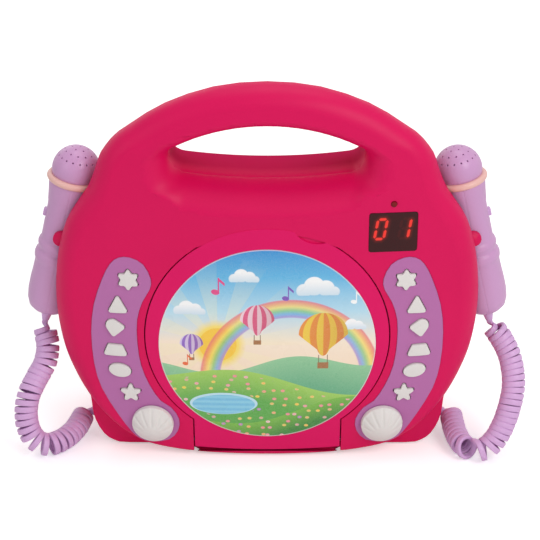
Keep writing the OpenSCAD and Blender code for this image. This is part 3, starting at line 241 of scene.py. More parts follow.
# Moulded plastic: a slow change of tone with fine specks, patches of gloss, sink and flow waves, and a fine grain.
# Each noise is its scale and detail.
moulding = {
    "drift": (14, 3), "driftShare": 0.55, "speck": (900, 2), "speckShare": 0.3, "patches": (55, 4), "patchShare": 0.12,
    "waves": (160, 1), "waveShare": 0.6, "grain": (2400, 2), "wavesUnderGrain": 0.25, "depth": 0.00006,
}
plastics = {
    # shellPink's "deep" colour is painted shade for the inside of the handle opening
    "shellPink": {"tone": (230, 10, 92), "shade": (210, 4, 84), "gloss": 0.46, "specular": 0.2, "rounded": 0.0005,
                  "deep": (170, 0, 80)},
    "lidPink": {"tone": (234, 12, 102), "shade": (218, 6, 94), "gloss": 0.42, "specular": 0.2},
    "bodyPinkInside": {"tone": (210, 8, 84), "shade": (192, 4, 76), "gloss": 0.4, "grain": 0.8, "specular": 0.26},
    "panelMauve": {"tone": (192, 116, 176), "shade": (180, 104, 164), "gloss": 0.36, "grain": 0.6},
    "keyWhite": {"tone": (234, 229, 226), "shade": (224, 219, 215), "gloss": 0.3, "grain": 0.3, "specular": 0.4},
    "micLavender": {"tone": (214, 164, 208), "shade": (200, 148, 195), "gloss": 0.32, "grain": 0.35},
    "ringPeach": {"tone": (244, 196, 186), "shade": (232, 180, 172), "gloss": 0.32, "grain": 0.3},
    "cordLilac": {"tone": (226, 184, 228), "shade": (208, 160, 212), "gloss": 0.38, "grain": 0.4},
    "darkPlastic": {"tone": (38, 38, 40), "shade": (28, 28, 30), "gloss": 0.5, "grain": 1.0, "specular": 0.5},
    "blackRubber": {"tone": (34, 34, 35), "shade": (24, 24, 25), "gloss": 0.75, "grain": 1.2, "specular": 0.5},
}
metals = {
    "steel": {"tone": (190, 192, 196), "shade": (150, 152, 157), "gloss": 0.3},
    "zinc": {"tone": (176, 178, 176), "shade": (140, 142, 142), "gloss": 0.42},
}
brush = {"lines": (700, 3), "stretch": (0.08, 1, 1), "glossShare": 0.25, "depth": 0.00002}
tracks = {"noise": (420, 0), "stretch": (1, 0.2, 3.5), "half": 0.035, "soft": 0.02, "depth": 0.00003,
          "tone": (22, 92, 52), "shade": (60, 136, 84)}
fibres = {"noise": (1800, 3), "depth": 0.0001, "tone": (26, 26, 28), "shade": (44, 44, 46)}


def mouldedPlastic(name, tone, shade, gloss, specular=0.35, grain=None, rounded=None, deep=None):
    finish = Finish(name, Specular_IOR_Level=specular)
    drift = finish.noise(*moulding["drift"]) * moulding["driftShare"]
    speck = finish.noise(*moulding["speck"]) * moulding["speckShare"]
    skin = finish.mixed(drift + speck, tone, shade)
    dull = gloss + (finish.noise(*moulding["patches"]) - 0.5) * moulding["patchShare"]
    # painted shade: inside the throat the colour is mixed toward the darker "deep" colour for the grip's shadow; the
    # extra roughness there is real
    if deep:
        inside = insideThroat(finish)
        skin = finish.mixed(inside * throat["deep"], skin, deep)
        dull = dull + inside * throat["dull"]
    finish.colour(skin)
    finish.rough(dull)
    waves, depth = finish.noise(*moulding["waves"]) * moulding["waveShare"], moulding["depth"]
    if grain:
        waves = waves * (moulding["wavesUnderGrain"] / grain) + finish.noise(*moulding["grain"])
        depth *= grain
    finish.bump(waves, depth, rounded)


def brushedMetal(name, tone, shade, gloss):
    finish = Finish(name, Metallic=1.0)
    lines = finish.noise(*brush["lines"], stretch=brush["stretch"])
    finish.colour(finish.mixed(lines, tone, shade))
    finish.rough(gloss + (lines - 0.5) * brush["glossShare"])
    finish.bump(lines, brush["depth"])


for name, settings in plastics.items():
    mouldedPlastic(name, **settings)
for name, settings in metals.items():
    brushedMetal(name, **settings)


def boardFinish():
    finish = Finish("boardGreen", Roughness=0.35, Coat_Weight=0.4)
    level = finish.noise(*tracks["noise"], stretch=tracks["stretch"])
    lines = (abs(level - 0.5) - tracks["half"]).step(tracks["soft"])
    finish.colour(finish.mixed(lines, tracks["tone"], tracks["shade"]))
    finish.bump(lines, tracks["depth"])


def tintedFinish(name, scale, tone, shade, **fixed):
    finish = Finish(name, **fixed)
    finish.colour(finish.mixed(finish.noise(scale, 1), tone, shade))


def coneFinish():
    finish = Finish("coneBlack", Roughness=0.7)
    strands = finish.noise(*fibres["noise"])
    finish.colour(finish.mixed(strands, fibres["tone"], fibres["shade"]))
    finish.bump(strands, fibres["depth"])


boardFinish()
coneFinish()
tintedFinish("lensGlass", 160, (60, 76, 140), (96, 60, 130), Roughness=0.04, Coat_Weight=1.0)
tintedFinish("lampRed", 400, (136, 0, 12), (112, 0, 8), Roughness=0.2, Specular_IOR_Level=0.3)


# The window: dark red plastic with two lit digits under it, each of seven slanted bars. The unlit bars, and more
# faintly the rest of the window, have a painted glow, though they give no light.
digits = {
    "middle": (74.3, 160.4), "height": 14, "width": 7.2, "stroke": 1.7, "slant": 0.17, "gap": 0.4, "point": 0.7,
    "places": (-7.4, 6.8), "lit": ("abcdef", "bc"), "unlit": ("g", "adefg"),
    "litEdge": 0.18, "unlitEdge": 0.25, "unlitGlowShare": 0.02, "haloReach": 2.6, "haloFall": 2.5, "haloShare": 0.16,
    "dark": (0.006, 0, 0, 1), "glow": (0.86, 0.035, 0.022, 1), "tone": (58, 2, 6), "shade": (40, 0, 4),
}


def digitBars():  # each bar's middle and its half width and height
    halfW, halfH = (digits["width"] - digits["stroke"]) / 2, (digits["height"] - digits["stroke"]) / 2
    halfS, gap = digits["stroke"] / 2, digits["gap"]
    across, upright = (halfW - gap, halfS), (halfS, halfH / 2 - gap)
    return {"a": (0, halfH, across), "g": (0, 0, across), "d": (0, -halfH, across),
            "b": (halfW, halfH / 2, upright), "c": (halfW, -halfH / 2, upright),
            "f": (-halfW, halfH / 2, upright), "e": (-halfW, -halfH / 2, upright)}


def windowFinish():
    finish = Finish("windowRed", Roughness=0.12, Specular_IOR_Level=0.3, Emission_Strength=1.0)
    x, z = finish.drawing()
    v = z - digits["middle"][1]
    u = x - digits["middle"][0] - v * digits["slant"]
    bars = digitBars()

    def nearest(words):  # how far the nearest bar of these is, for each of the two places
        least = None
        for names, shift in zip(words, digits["places"]):
            for name in names:
                cx, cz, (halfX, halfZ) = bars[name]
                sideways, upward = abs(u - (cx + shift)), abs(v - cz)
                pointed = (sideways + upward - max(halfX, halfZ)) * digits["point"]
                out = (sideways - halfX).atLeast(upward - halfZ).atLeast(pointed)
                least = out if least is None else least.atMost(out)
        return least

    lit = nearest(digits["lit"])
    halo = (1 - lit.atLeast(0) / digits["haloReach"]).atLeast(0) ** digits["haloFall"] * digits["haloShare"]
    glow = lit.step(digits["litEdge"]).atLeast(halo)
    # painted glow on the unlit bars; the "dark" emission colour is a fainter painted glow on the rest of the window
    unlitGlow = nearest(digits["unlit"]).step(digits["unlitEdge"]) * digits["unlitGlowShare"]
    finish.set(finish.surface, "Emission Color", finish.mixed(glow + unlitGlow, digits["dark"], digits["glow"]))
    finish.colour(finish.mixed(finish.noise(30, 2), digits["tone"], digits["shade"]))


windowFinish()


# The printed insert: hills under a rainbow, with balloons, clouds and notes. Lengths are from the card's middle.
card = {"middle": 82.5, "radius": 66, "edge": 0.28, "rim": 0.6, "rimShare": 0.6, "rimColour": (250, 226, 236),
        "specks": (1500, 1), "speckShare": 0.16, "speckLevel": 0.04, "speckColour": (255, 250, 240),
        "gloss": 0.24, "patches": (60, 3), "patchShare": 0.08}


class Picture:
    def __init__(self, finish):
        self.finish = finish
        self.x, height = finish.drawing()
        self.z = height - card["middle"]
        self.layers = None

    def away(self, cx, cz, squeeze=1.0):
        dx, dz = self.x - cx, (self.z - cz) * squeeze
        return (dx * dx + dz * dz) ** 0.5

    def disc(self, cx, cz, radius, squeeze=1.0, soft=card["edge"]):
        return (self.away(cx, cz, squeeze) - radius).step(soft)

    def bar(self, offset, halfWidth):
        return (abs(offset) - halfWidth).step(card["edge"])

    def ramp(self, at, stops):
        return self.finish.node("ShaderNodeValToRGB", {"stops": stops}, {0: at})

    def put(self, mask, colour):
        self.layers = self.finish.mixed(mask, self.layers, colour)


sky = {"low": -26, "height": 92, "colours": ((0, (255, 226, 196)), (0.32, (255, 236, 214)), (0.55, (186, 226, 244)),
                                             (0.8, (98, 186, 232)), (1, (52, 148, 216)))}
sun = {"at": (-30, 2), "radius": 11.5, "colour": (255, 206, 64), "halo": 15, "haloSoft": 5,
       "haloColour": (255, 226, 110), "beams": 12, "beamReach": 62, "beamShare": 0.42, "beamColour": (255, 244, 190)}
rainbow = {"middle": (14, -22), "inner": 43, "width": 12, "soft": 0.8, "share": 0.82, "colours": (
    (0, (178, 132, 214)), (0.2, (112, 176, 232)), (0.4, (134, 206, 128)), (0.62, (252, 226, 104)),
    (0.8, (250, 168, 96)), (1, (238, 96, 122)))}


def paintSky(picture):
    picture.layers = picture.ramp((picture.z - sky["low"]) / sky["height"], sky["colours"])
    x, z = sun["at"]
    turn = (picture.z - z).maths("ARCTAN2", picture.x - x)
    beams = (turn * sun["beams"]).maths("SINE").maths("GREATER_THAN", 0)
    fade = (1 - picture.away(x, z) / sun["beamReach"]).atLeast(0)
    picture.put(beams * fade * sun["beamShare"], sun["beamColour"])
    picture.put(picture.disc(x, z, sun["halo"], soft=sun["haloSoft"]), sun["haloColour"])
    picture.put(picture.disc(x, z, sun["radius"]), sun["colour"])
    reach, inner, half = picture.away(*rainbow["middle"]), rainbow["inner"], rainbow["width"] / 2
    bow = (abs(reach - (inner + half)) - half).step(rainbow["soft"])
    picture.put(bow * rainbow["share"], picture.ramp((reach - inner) / rainbow["width"], rainbow["colours"]))


# Each cloud is its place and size, each puff its place and radius on a cloud of size 1.
clouds = {"at": ((30, 39, 1.0), (-14, 47, 0.7), (-47, 25, 0.75), (52, 14, 0.6)),
          "puffs": ((-8, 0, 4.6), (-2, 3, 6.2), (5, 1.6, 5.2), (10, -0.8, 3.4)), "soft": 0.6, "base": 3.2,
          "baseSoft": 0.5, "height": 10, "lift": 0.4, "shade": (208, 228, 242), "light": (255, 255, 255)}


def paintClouds(picture):
    for cx, cz, size in clouds["at"]:
        cloud = None
        for dx, dz, radius in clouds["puffs"]:
            puff = picture.disc(cx + dx * size, cz + dz * size, radius * size, soft=clouds["soft"])
            cloud = puff if cloud is None else cloud.atLeast(puff)
        base = (cz - clouds["base"] * size - picture.z).step(clouds["baseSoft"])
        lit = ((picture.z - cz) / (clouds["height"] * size) + clouds["lift"]).atLeast(0)
        picture.put(cloud * base, picture.finish.mixed(lit, clouds["shade"], clouds["light"]))


hills = {
    "far": {"level": -12, "swing": 5, "length": 15, "lean": 0.05, "shift": 0.4, "depth": 22,
            "top": (150, 206, 158), "foot": (104, 178, 136)},
    "middle": {"level": -24, "swing": 6, "length": 21, "lean": -0.1, "shift": 2.4, "depth": 20,
               "top": (166, 212, 96), "foot": (96, 176, 78)},
    "near": {"level": -49, "swing": 5, "length": 17, "lean": 0.16, "shift": 5.2, "depth": 14,
             "top": (128, 192, 74), "foot": (60, 140, 62)},
}
pond = {"at": (-27, -41), "shore": (21, 2.6), "shoreColour": (196, 232, 246), "waterZ": -41.6, "water": (19.4, 2.7),
        "ripple": 1.7, "ripples": ((120, 196, 232), (146, 214, 240)), "clear": (22, 2.5)}
flowers = {"cell": (7.5, 5.5), "random": 0.8, "size": 0.17, "soft": 0.06, "heart": 0.06, "heartSoft": 0.04,
           "heartColour": (250, 196, 60), "below": 3, "belowSoft": 0.5, "colours": (
               (0, (250, 240, 246)), (0.35, (246, 128, 172)), (0.6, (252, 222, 92)), (0.85, (190, 130, 214)))}


def paintHill(picture, name):
    hill = hills[name]
    line = (picture.x / hill["length"] + hill["shift"]).maths("SINE") * hill["swing"] + hill["level"] + \
        picture.x * hill["lean"]
    slope = picture.finish.mixed((line - picture.z) / hill["depth"], hill["top"], hill["foot"])
    picture.put((picture.z - line).step(card["edge"]), slope)
    return line


def paintFlowers(picture, line):
    width, height = flowers["cell"]
    finish = picture.finish
    cells = finish.node("ShaderNodeTexVoronoi", {"voronoi_dimensions": "2D"}, {
        "Vector": finish.node("ShaderNodeCombineXYZ", {}, {0: picture.x / width, 1: picture.z / height}),
        "Scale": 1.0, "Randomness": flowers["random"]})
    petals = Wire(finish, cells.socket.node.outputs["Color"])
    bloom = (cells - flowers["size"]).step(flowers["soft"]) * (
        picture.z - line + flowers["below"]).step(flowers["belowSoft"])
    bloom = bloom * (1 - picture.disc(*pond["at"], *pond["clear"]))
    picture.put(bloom, picture.ramp(petals, flowers["colours"]))
    picture.put((cells - flowers["heart"]).step(flowers["heartSoft"]) * bloom, flowers["heartColour"])


def paintLand(picture):
    paintHill(picture, "far")
    middleLine = paintHill(picture, "middle")
    picture.put(picture.disc(*pond["at"], *pond["shore"]), pond["shoreColour"])
    ripples = (picture.z * pond["ripple"]).maths("SINE") * 0.5 + 0.5
    picture.put(picture.disc(pond["at"][0], pond["waterZ"], *pond["water"]),
                picture.finish.mixed(ripples, *pond["ripples"]))
    paintHill(picture, "near")
    paintFlowers(picture, middleLine)


def sized(lengths, size):
    return {name: length * size for name, length in lengths.items()}


# Striped balloons: each is its place, size and two colours, and "lengths" are those of a balloon of size 1.
balloons = {
    "at": ((34, 9, 1.15, (250, 212, 70), (242, 150, 60)), (-6, 19, 0.8, (232, 92, 140), (250, 214, 226)),
           (-46, 2, 0.55, (150, 110, 206), (226, 208, 244))),
    "lengths": {"radius": 13, "taper": 14, "bulge": 13.4, "stripe": 3.6, "shade": 26, "ropeX": 2.3, "ropeZ": 15,
                "ropeTall": 2.6, "basketHalf": 2.9, "basketZ": 19, "basketTall": 1.9},
    "narrowest": 0.35, "flattest": 0.02, "crisp": 4.0, "shadeShare": 0.35, "shadeColour": (150, 70, 60),
    "ropeHalf": 0.22, "ropeColour": (120, 84, 60), "basketColour": (170, 116, 70),
}


def paintBalloons(picture):
    for cx, cz, size, first, second in balloons["at"]:
        own = sized(balloons["lengths"], size)
        dx, dz = picture.x - cx, picture.z - cz
        taper = (dz / own["taper"] + 1.0).atLeast(balloons["narrowest"]).atMost(1.0)
        body = (((dx / taper) * (dx / taper) + dz * dz) ** 0.5 - own["radius"]).step(card["edge"])
        bulge = (1 - (dz / own["bulge"]) ** 2).atLeast(balloons["flattest"]) ** 0.5
        stripes = ((dx / bulge) * (math.pi / own["stripe"])).maths("SINE")
        skin = picture.finish.mixed(stripes.maths("MULTIPLY_ADD", balloons["crisp"], 0.5, clamp=True), first, second)
        shade = (dx / own["shade"] + 0.5).atLeast(0) * balloons["shadeShare"]
        ropes = picture.bar(abs(dx) - own["ropeX"], balloons["ropeHalf"]) * picture.bar(
            dz + own["ropeZ"], own["ropeTall"])
        basket = picture.bar(dx, own["basketHalf"]) * picture.bar(dz + own["basketZ"], own["basketTall"])
        picture.put(ropes, balloons["ropeColour"])
        picture.put(basket, balloons["basketColour"])
        picture.put(body, picture.finish.mixed(shade, skin, balloons["shadeColour"]))


# Each note is its place, size and colour; "head" and "lengths" are those of a note of size 1.
notes = {
    "at": ((-31, 38, 1.0, (232, 70, 140)), (11, 34, 0.85, (128, 86, 190)), (52, 31, 0.75, (255, 255, 255)),
           (-50, -12, 0.7, (240, 110, 60))),
    "head": (2.5, 1.9), "lean": (0.45, 0.12), "headSoft": 0.12, "flagSlope": 0.95,
    "lengths": {"stemX": 2.0, "stemHalf": 0.4, "stemZ": 4.8, "flagTop": 9.6, "flagDrop": 1.1, "flagTall": 1.0,
                "flagX": 3.8, "flagHalf": 1.9},
}


def paintNotes(picture):
    headWide, headTall = notes["head"]
    leanX, leanZ = notes["lean"]
    for cx, cz, size, tone in notes["at"]:
        own = sized(notes["lengths"], size)
        dx, dz = picture.x - cx, picture.z - cz
        head = ((((dx + dz * leanX) / headWide) ** 2 + ((dz - dx * leanZ) / headTall) ** 2) ** 0.5 - size).step(
            notes["headSoft"])
        stem = picture.bar(dx - own["stemX"], own["stemHalf"]) * picture.bar(dz - own["stemZ"], own["stemZ"])
        flagLine = own["flagTop"] - (dx - own["stemX"]) * notes["flagSlope"]
        flag = picture.bar(dz - flagLine + own["flagDrop"], own["flagTall"]) * picture.bar(
            dx - own["flagX"], own["flagHalf"])
        picture.put(head.atLeast(stem).atLeast(flag), tone)


def cardFinish():
    finish = Finish("printedCard", Specular_IOR_Level=0.3)
    picture = Picture(finish)
    paintSky(picture)
    paintClouds(picture)
    paintLand(picture)
    paintBalloons(picture)
    paintNotes(picture)
    rim = (card["radius"] - card["rim"] - picture.away(0, 0)).step(card["edge"])
    picture.put(rim * card["rimShare"], card["rimColour"])
    picture.put((finish.noise(*card["specks"]) - 0.5) * card["speckShare"] + card["speckLevel"], card["speckColour"])
    finish.colour(picture.layers)
    finish.rough(card["gloss"] + finish.noise(*card["patches"]) * card["patchShare"])


cardFinish()
print("finishes made")


# Curly cords: a flat band in close turns, and the route of each cord's middle line from the microphone to the port.
# "thick" is the diameter of the whole section, "uneven" how far a turn stands out and over how many turns.
cords = {
    "thick": 3.26, "width": 3.7, "flat": 2.3, "curl": 14.6, "pitch": 3.32, "lead": 0.8, "ramp": 7, "rampTurn": 300,
    "routeSteps": 8, "pointsPerCurl": 24, "aroundBand": 12, "corner": 0.42, "sharp": 60, "uneven": (0.12, 2.7),
    "firstSide": (0, 1, 0.3), "stretchOver": 70,
    "left": [(-139.4, 40, 81.65), (-140.2, 39.6, 77.8), (-139.4, 37.6, 73), (-138, 33.5, 66), (-139.5, 28, 57.5),
             (-144.5, 22, 49.5), (-149, 16, 41.5), (-151, 12, 32), (-150, 9, 21.5), (-145.5, 8, 12.5),
             (-138, 10, 8.2), (-130, 16.5, 7.7), (-124, 26, 8.2), (-120.5, 35, 10), (-119, 41, 11.5),
             (-116.5, 44.5, 12), (-114.5, 45, 12)],
    "right": [(139.4, 40, 81.65), (140.8, 39.7, 77.8), (146.5, 37.3, 71), (152, 32, 61.5), (154.5, 26, 51),
              (154.5, 21, 42), (152.3, 16, 33), (149, 12, 23.5), (144, 8, 14.5), (137.5, 5, 8.8), (130.5, 4, 7.7),
              (124.8, 8, 7.7), (121.8, 16, 7.8), (120, 26, 8.6), (119.3, 34, 10), (118.6, 41, 11.5),
              (116.5, 44.5, 12), (114.5, 45, 12)],
}


def splinePoint(a, b, c, d, t):
    return (b * 2 + (c - a) * t + (a * 2 - b * 5 + c * 4 - d) * t * t + (b * 3 - a - c * 3 + d) * t**3) / 2


def routeLine(points, steps):
    last = len(points) - 1
    line = []
    for i in range(last):
        for k in range(steps):
            before, after = points[max(i - 1, 0)], points[min(i + 2, last)]
            line.append(splinePoint(before, points[i], points[i + 1], after, k / steps))
    return line + [points[last]]


def curledLine(route):  # points on the middle of the band, each with its direction away from the coil's middle
    line = np.array([list(p) for p in routeLine([Vector(p) for p in route], cords["routeSteps"])])
    count = len(line)
    tangent = np.array([line[min(i + 1, count - 1)] - line[max(i - 1, 0)] for i in range(count)])
    tangent /= np.linalg.norm(tangent, axis=1)[:, None]
    along = np.concatenate([[0], np.cumsum(np.linalg.norm(np.diff(line, axis=0), axis=1))])
    side = np.zeros_like(line)
    first = np.array(cords["firstSide"])
    for i in range(count):
        first = first - first.dot(tangent[i]) * tangent[i]
        first /= np.linalg.norm(first)
        side[i] = first
    radius, total = (cords["curl"] - cords["flat"]) / 2, along[-1]
    lead, ramp, rampTurn = cords["lead"], cords["ramp"], cords["rampTurn"]
    start, end = lead + ramp, total - lead - ramp
    turned = np.zeros(count)
    for i in range(count - 1):
        turned[i + 1] = turned[i]
        if along[i] > start and along[i + 1] < end:
            step = along[i + 1] - along[i]
            bend = np.linalg.norm(tangent[i + 1] - tangent[i]) / step
            turned[i + 1] += 360 * step * (1 - radius * bend) / cords["pitch"]

    def spot(reached, angle, reach):
        centre, u, v = (np.array([np.interp(reached, along, table[:, axis]) for axis in range(3)])
                        for table in (line, side, tangent))
        v /= np.linalg.norm(v)
        u = u - u.dot(v) * v
        u /= np.linalg.norm(u)
        turn = math.radians(angle)
        outward = math.cos(turn) * u + math.sin(turn) * np.cross(v, u)
        return centre + reach * outward, outward

    inner = [i for i in range(count) if start < along[i] < end]
    full, stride = turned[-1], 360 / cords["pointsPerCurl"]
    rampSteps, curlSteps = round(rampTurn / stride), round(full / stride)
    swing, period = cords["uneven"]
    points = [(line[0], spot(0, 0, 0)[1])]
    for i in range(rampSteps):
        share = i / rampSteps
        points.append(spot(lead + ramp * (1 - (1 - share) ** 2), rampTurn * share, radius * smoothStep(share)))
    for i in range(curlSteps + 1):
        angle = full * i / curlSteps
        loose = swing * (1 - math.cos(math.radians(angle) / period)) / 2 if 0 < i < curlSteps else 0
        points.append(spot(np.interp(angle, turned[inner], along[inner]), rampTurn + angle, radius + loose))
    for i in range(1, rampSteps + 1):
        share = i / rampSteps
        points.append(spot(end + ramp * share**2, rampTurn * (1 + share) + full, radius * smoothStep(1 - share)))
    points.append((line[-1], points[-1][1]))
    return [(place(*p), Vector(outward)) for p, outward in points]


def addCord(side):
    spots = curledLine(cords[side])
    points = [p for p, outward in spots]
    last, around, corner = len(points) - 1, cords["aroundBand"], cords["corner"]
    work = bmesh.new()
    bmesh.ops.create_grid(work, x_segments=last, y_segments=around, size=1)
    work.verts.ensure_lookup_table()
    for vert in work.verts:
        i, k = round((vert.co.x + 1) / 2 * last), round((vert.co.y + 1) / 2 * around) % around
        tangent = (points[min(i + 1, last)] - points[max(i - 1, 0)]).normalized()
        outward = spots[i][1]
        outward = (outward - outward.dot(tangent) * tangent).normalized()
        turn = math.tau * (k + 0.5) / around
        flat, wide = (math.copysign(abs(part) ** corner, part) for part in (math.cos(turn), math.sin(turn)))
        vert.co = points[i] + outward * flat * cords["flat"] / 2000 + \
            tangent.cross(outward) * wide * cords["width"] / 2000
    bmesh.ops.remove_doubles(work, verts=work.verts, dist=1e-6)
    bmesh.ops.holes_fill(work, edges=[e for e in work.edges if e.is_boundary], sides=0)
    bmesh.ops.recalc_face_normals(work, faces=work.faces)
    mesh = meshOf(work, f"{side}CurlyCord", cords["sharp"])
    mesh.materials.append(finishes["cordLilac"])
    cord = addObject(mesh.name, mesh)
    length = sum((b - a).length for a, b in zip(points, points[1:]))
    foot = points[0] - Vector((0, 0, cords["stretchOver"] / 1000))
    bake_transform(cord)
    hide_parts(f"cord_{side}")
    print(side, "cord", round(length, 3), "m")


for side in ("left", "right"):
    addCord(side)


# The smooth forms that the facets of the two housing halves stand for: half outlines from the top round to the foot.
forms = {
    "steps": 10,
    "front": [(0, 245), (30, 241.8), (58, 232), (78, 219.6), (90, 209.6), (97.2, 201.2), (101.5, 191), (106.1, 180),
              (113.5, 169), (120, 158), (125.5, 140), (128.4, 118), (128.5, 97), (125.6, 75), (120.5, 58), (114.2, 45),
              (106.2, 33.5), (96.2, 22.5), (84.7, 13.3), (71.7, 7), (43, 2.4), (0, 1)],
    "rear": [(0, 238), (28, 234.8), (55, 225.2), (75, 211.7), (85.5, 200.5), (93.2, 189), (96.7, 179), (99.2, 165),
             (104, 150), (109, 133), (112.7, 118), (115.5, 101), (118, 84), (120.1, 68), (119, 56), (115.2, 46),
             (111.7, 37), (110.8, 27), (109.2, 18), (104.4, 8), (97.7, 2.7), (87.7, 1), (48, 1), (0, 1)],
    "frontMiddle": 105, "rearMiddle": 84, "parting": 24, "topDepth": 38, "height": 245,
    "roll": (3, 12, 15, 60), "backRoll": 8, "knee": (84, 3), "rollTurn": 6,
    "frontShares": (0.3, 0.6, 0.85), "backShares": (0.9, 0.75, 0.6, 0.45, 0.3, 0.15),
    "hole": {"arch": (108, 114), "halfWidth": 58, "endRadius": 10, "low": 186.5, "scoop": (17, 30), "sideScoop": 12,
             "sideDepth": 1.4, "under": 6, "back": 4, "steps": 8, "arcParts": (9, 5, 7, 5), "mouthTurn": 10},
}


def outlineOf(name):
    half = forms[name]
    points = [Vector(p) for p in half + [(-x, z) for x, z in half[-2:0:-1]]]
    count, steps = len(points), forms["steps"]
    return [splinePoint(points[i - 1], points[i], points[(i + 1) % count], points[(i + 2) % count], k / steps)
            for i in range(count) for k in range(steps)]


def backDepth(z):
    knee, width = forms["knee"]
    slope = (housing["depth"] - forms["topDepth"]) / (forms["height"] - knee)
    u = z - knee
    ramp = 0 if u <= -width else u if u >= width else (u + width) ** 2 / (4 * width)
    return housing["depth"] - slope * ramp


def rollAt(z):
    low, high, lowZ, highZ = forms["roll"]
    return low + (high - low) * smoothStep((z - lowZ) / (highZ - lowZ))


def reachOf(p, middle):
    return math.hypot(p[0], p[1] - middle)


def onRay(p, reach, middle):
    share = reach / reachOf(p, middle)
    return p[0] * share, middle + (p[1] - middle) * share


def frontRings():
    middle, rings = forms["frontMiddle"], []
    outline = outlineOf("front")
    for share in forms["frontShares"]:
        rings.append([(*onRay(p, share * (reachOf(p, middle) - rollAt(p[1])), middle), 0) for p in outline])
    for angle in range(90, -1, -forms["rollTurn"]):
        turn = math.radians(angle)
        rings.append([(*onRay(p, reachOf(p, middle) - rollAt(p[1]) * (1 - math.cos(turn)), middle),
                       rollAt(p[1]) * (1 - math.sin(turn))) for p in outline])
    rings = [[place(x, faceDepth(x, z) + drop, z) for x, z, drop in ring] for ring in rings]
    rings.append([place(p[0], forms["parting"], p[1]) for p in outline])
    return rings


def rearRings():
    middle, roll = forms["rearMiddle"], forms["backRoll"]
    outline = outlineOf("rear")
    rings = [[place(p[0], forms["parting"], p[1]) for p in outline]]
    for angle in range(0, 91, forms["rollTurn"]):
        turn = math.radians(angle)
        ring = [onRay(p, reachOf(p, middle) - roll * (1 - math.cos(turn)), middle) for p in outline]
        rings.append([place(x, backDepth(z) - roll * (1 - math.sin(turn)), z) for x, z in ring])
    for share in forms["backShares"]:
        ring = [onRay(p, share * (reachOf(p, middle) - roll), middle) for p in outline]
        rings.append([place(x, backDepth(z), z) for x, z in ring])
    return rings


def holePoints():  # each point of the hole's edge with the direction that leads away from it
    hole = forms["hole"]
    middle, gripR = hole["arch"]
    endR, low = hole["endRadius"], hole["low"]
    endX = hole["halfWidth"] - endR
    endZ = middle + math.sqrt((gripR - endR) ** 2 - endX**2)
    rise = endZ - low
    sag = (endX**2 + rise**2 - endR**2) / (2 * (rise - endR))
    topA = math.degrees(math.atan2(endZ - middle, endX))
    lowA = math.degrees(math.atan2(endZ - low - sag, endX))
    arcs = [(0, middle, gripR, 180 - topA, topA), (endX, endZ, endR, topA, lowA),
            (0, low + sag, sag, lowA, -180 - lowA), (-endX, endZ, endR, -180 - lowA, -180 - topA)]
    points = []
    for (cx, cz, r, start, end), parts in zip(arcs, hole["arcParts"]):
        count = parts * hole["steps"]
        for i in range(count):
            a = math.radians(start + (end - start) * i / count)
            points.append((cx + r * math.cos(a), cz + r * math.sin(a), math.cos(a), math.sin(a)))
    return points


holeEdge = holePoints()
holeTree = KDTree(len(holeEdge))
for number, edgePoint in enumerate(holeEdge):
    holeTree.insert((edgePoint[0], 0, edgePoint[1]), number)
holeTree.balance()


def mouthSpread(side, under, scoop, across, up):
    return side * across**2 + (under if up > 0 else scoop) * up**2


def throatRings():
    hole = forms["hole"]

    def mouth(p, angle, front):
        b = math.radians(angle)
        across, up = p[2], p[3]
        spread = deep = hole["back"]
        if front:
            spread = mouthSpread(hole["sideScoop"], hole["under"], hole["scoop"][0], across, up)
            deep = mouthSpread(hole["sideScoop"] * hole["sideDepth"], hole["under"], hole["scoop"][1], across, up)
        out = spread * (1 - math.sin(b))
        x, z = p[0] + across * out, p[1] + up * out
        inwards = deep * (1 - math.cos(b))
        return place(x, faceDepth(x, z) + inwards if front else backDepth(z) - inwards, z)

    angles = range(0, 91, hole["mouthTurn"])
    return [[mouth(p, a, True) for p in holeEdge] for a in angles] + \
        [[mouth(p, a, False) for p in holeEdge] for a in reversed(angles)]


# How the moulded form departs from the plain one: fuller shoulders, and a wider, softer recess round the hole.
fuller = {"above": 150, "shoulder": 1.2, "shoulderFrom": (188, 212), "shoulderBand": (116, 133), "crownHalf": 30,
          "side": 19, "scoop": 22, "fade": 24, "depths": (22, 34), "notUp": 0.6,
          "kept": (57, 92, 140, 180), "keptEdge": 9}


def ramped(value, low, high):
    return smoothStep((value - low) / (high - low))


def shoulderPush(x, z):
    reach = math.hypot(x, z - forms["hole"]["arch"][0])
    return fuller["shoulder"] * ramped(z, *fuller["shoulderFrom"]) * ramped(reach, *fuller["shoulderBand"]) * \
        smoothStep(abs(x) / fuller["crownHalf"])


def recessShare(x, depth, z, up):  # none behind, over the hole, or near the display
    left, right, bottom, top = fuller["kept"]
    clear = math.hypot(max(left - abs(x), 0, abs(x) - right), max(bottom - z, 0, z - top))
    return (1 - ramped(depth, *fuller["depths"])) * (1 - smoothStep(up / fuller["notUp"])) * \
        smoothStep(clear / fuller["keptEdge"])


def fullForm(at):
    x, depth, z = at.x * 1000, at.y * 1000 + housing["depth"] / 2, at.z * 1000
    if z < fuller["above"]:
        return at
    shiftX, shiftZ, shiftDepth = math.copysign(shoulderPush(x, z), x), 0, 0
    px, pz, across, up = holeEdge[holeTree.find((x, 0, z))[1]]
    out = (x - px) * across + (z - pz) * up
    if 0 < out and up < fuller["notUp"]:
        hole = forms["hole"]
        old = mouthSpread(hole["sideScoop"], hole["under"], hole["scoop"][0], across, up)
        new = mouthSpread(fuller["side"], hole["under"], fuller["scoop"], across, up)
        share = recessShare(x, depth, z, up)
        grown = (new - old) * (out / old if out < old else max(0, 1 - (out - old) / fuller["fade"])) * share
        shiftX += across * grown
        shiftZ += up * grown
        shiftDepth = (faceDepth(x + shiftX, z + shiftZ) - faceDepth(x, z)) * share
    return place(x + shiftX, depth + shiftDepth, z + shiftZ)


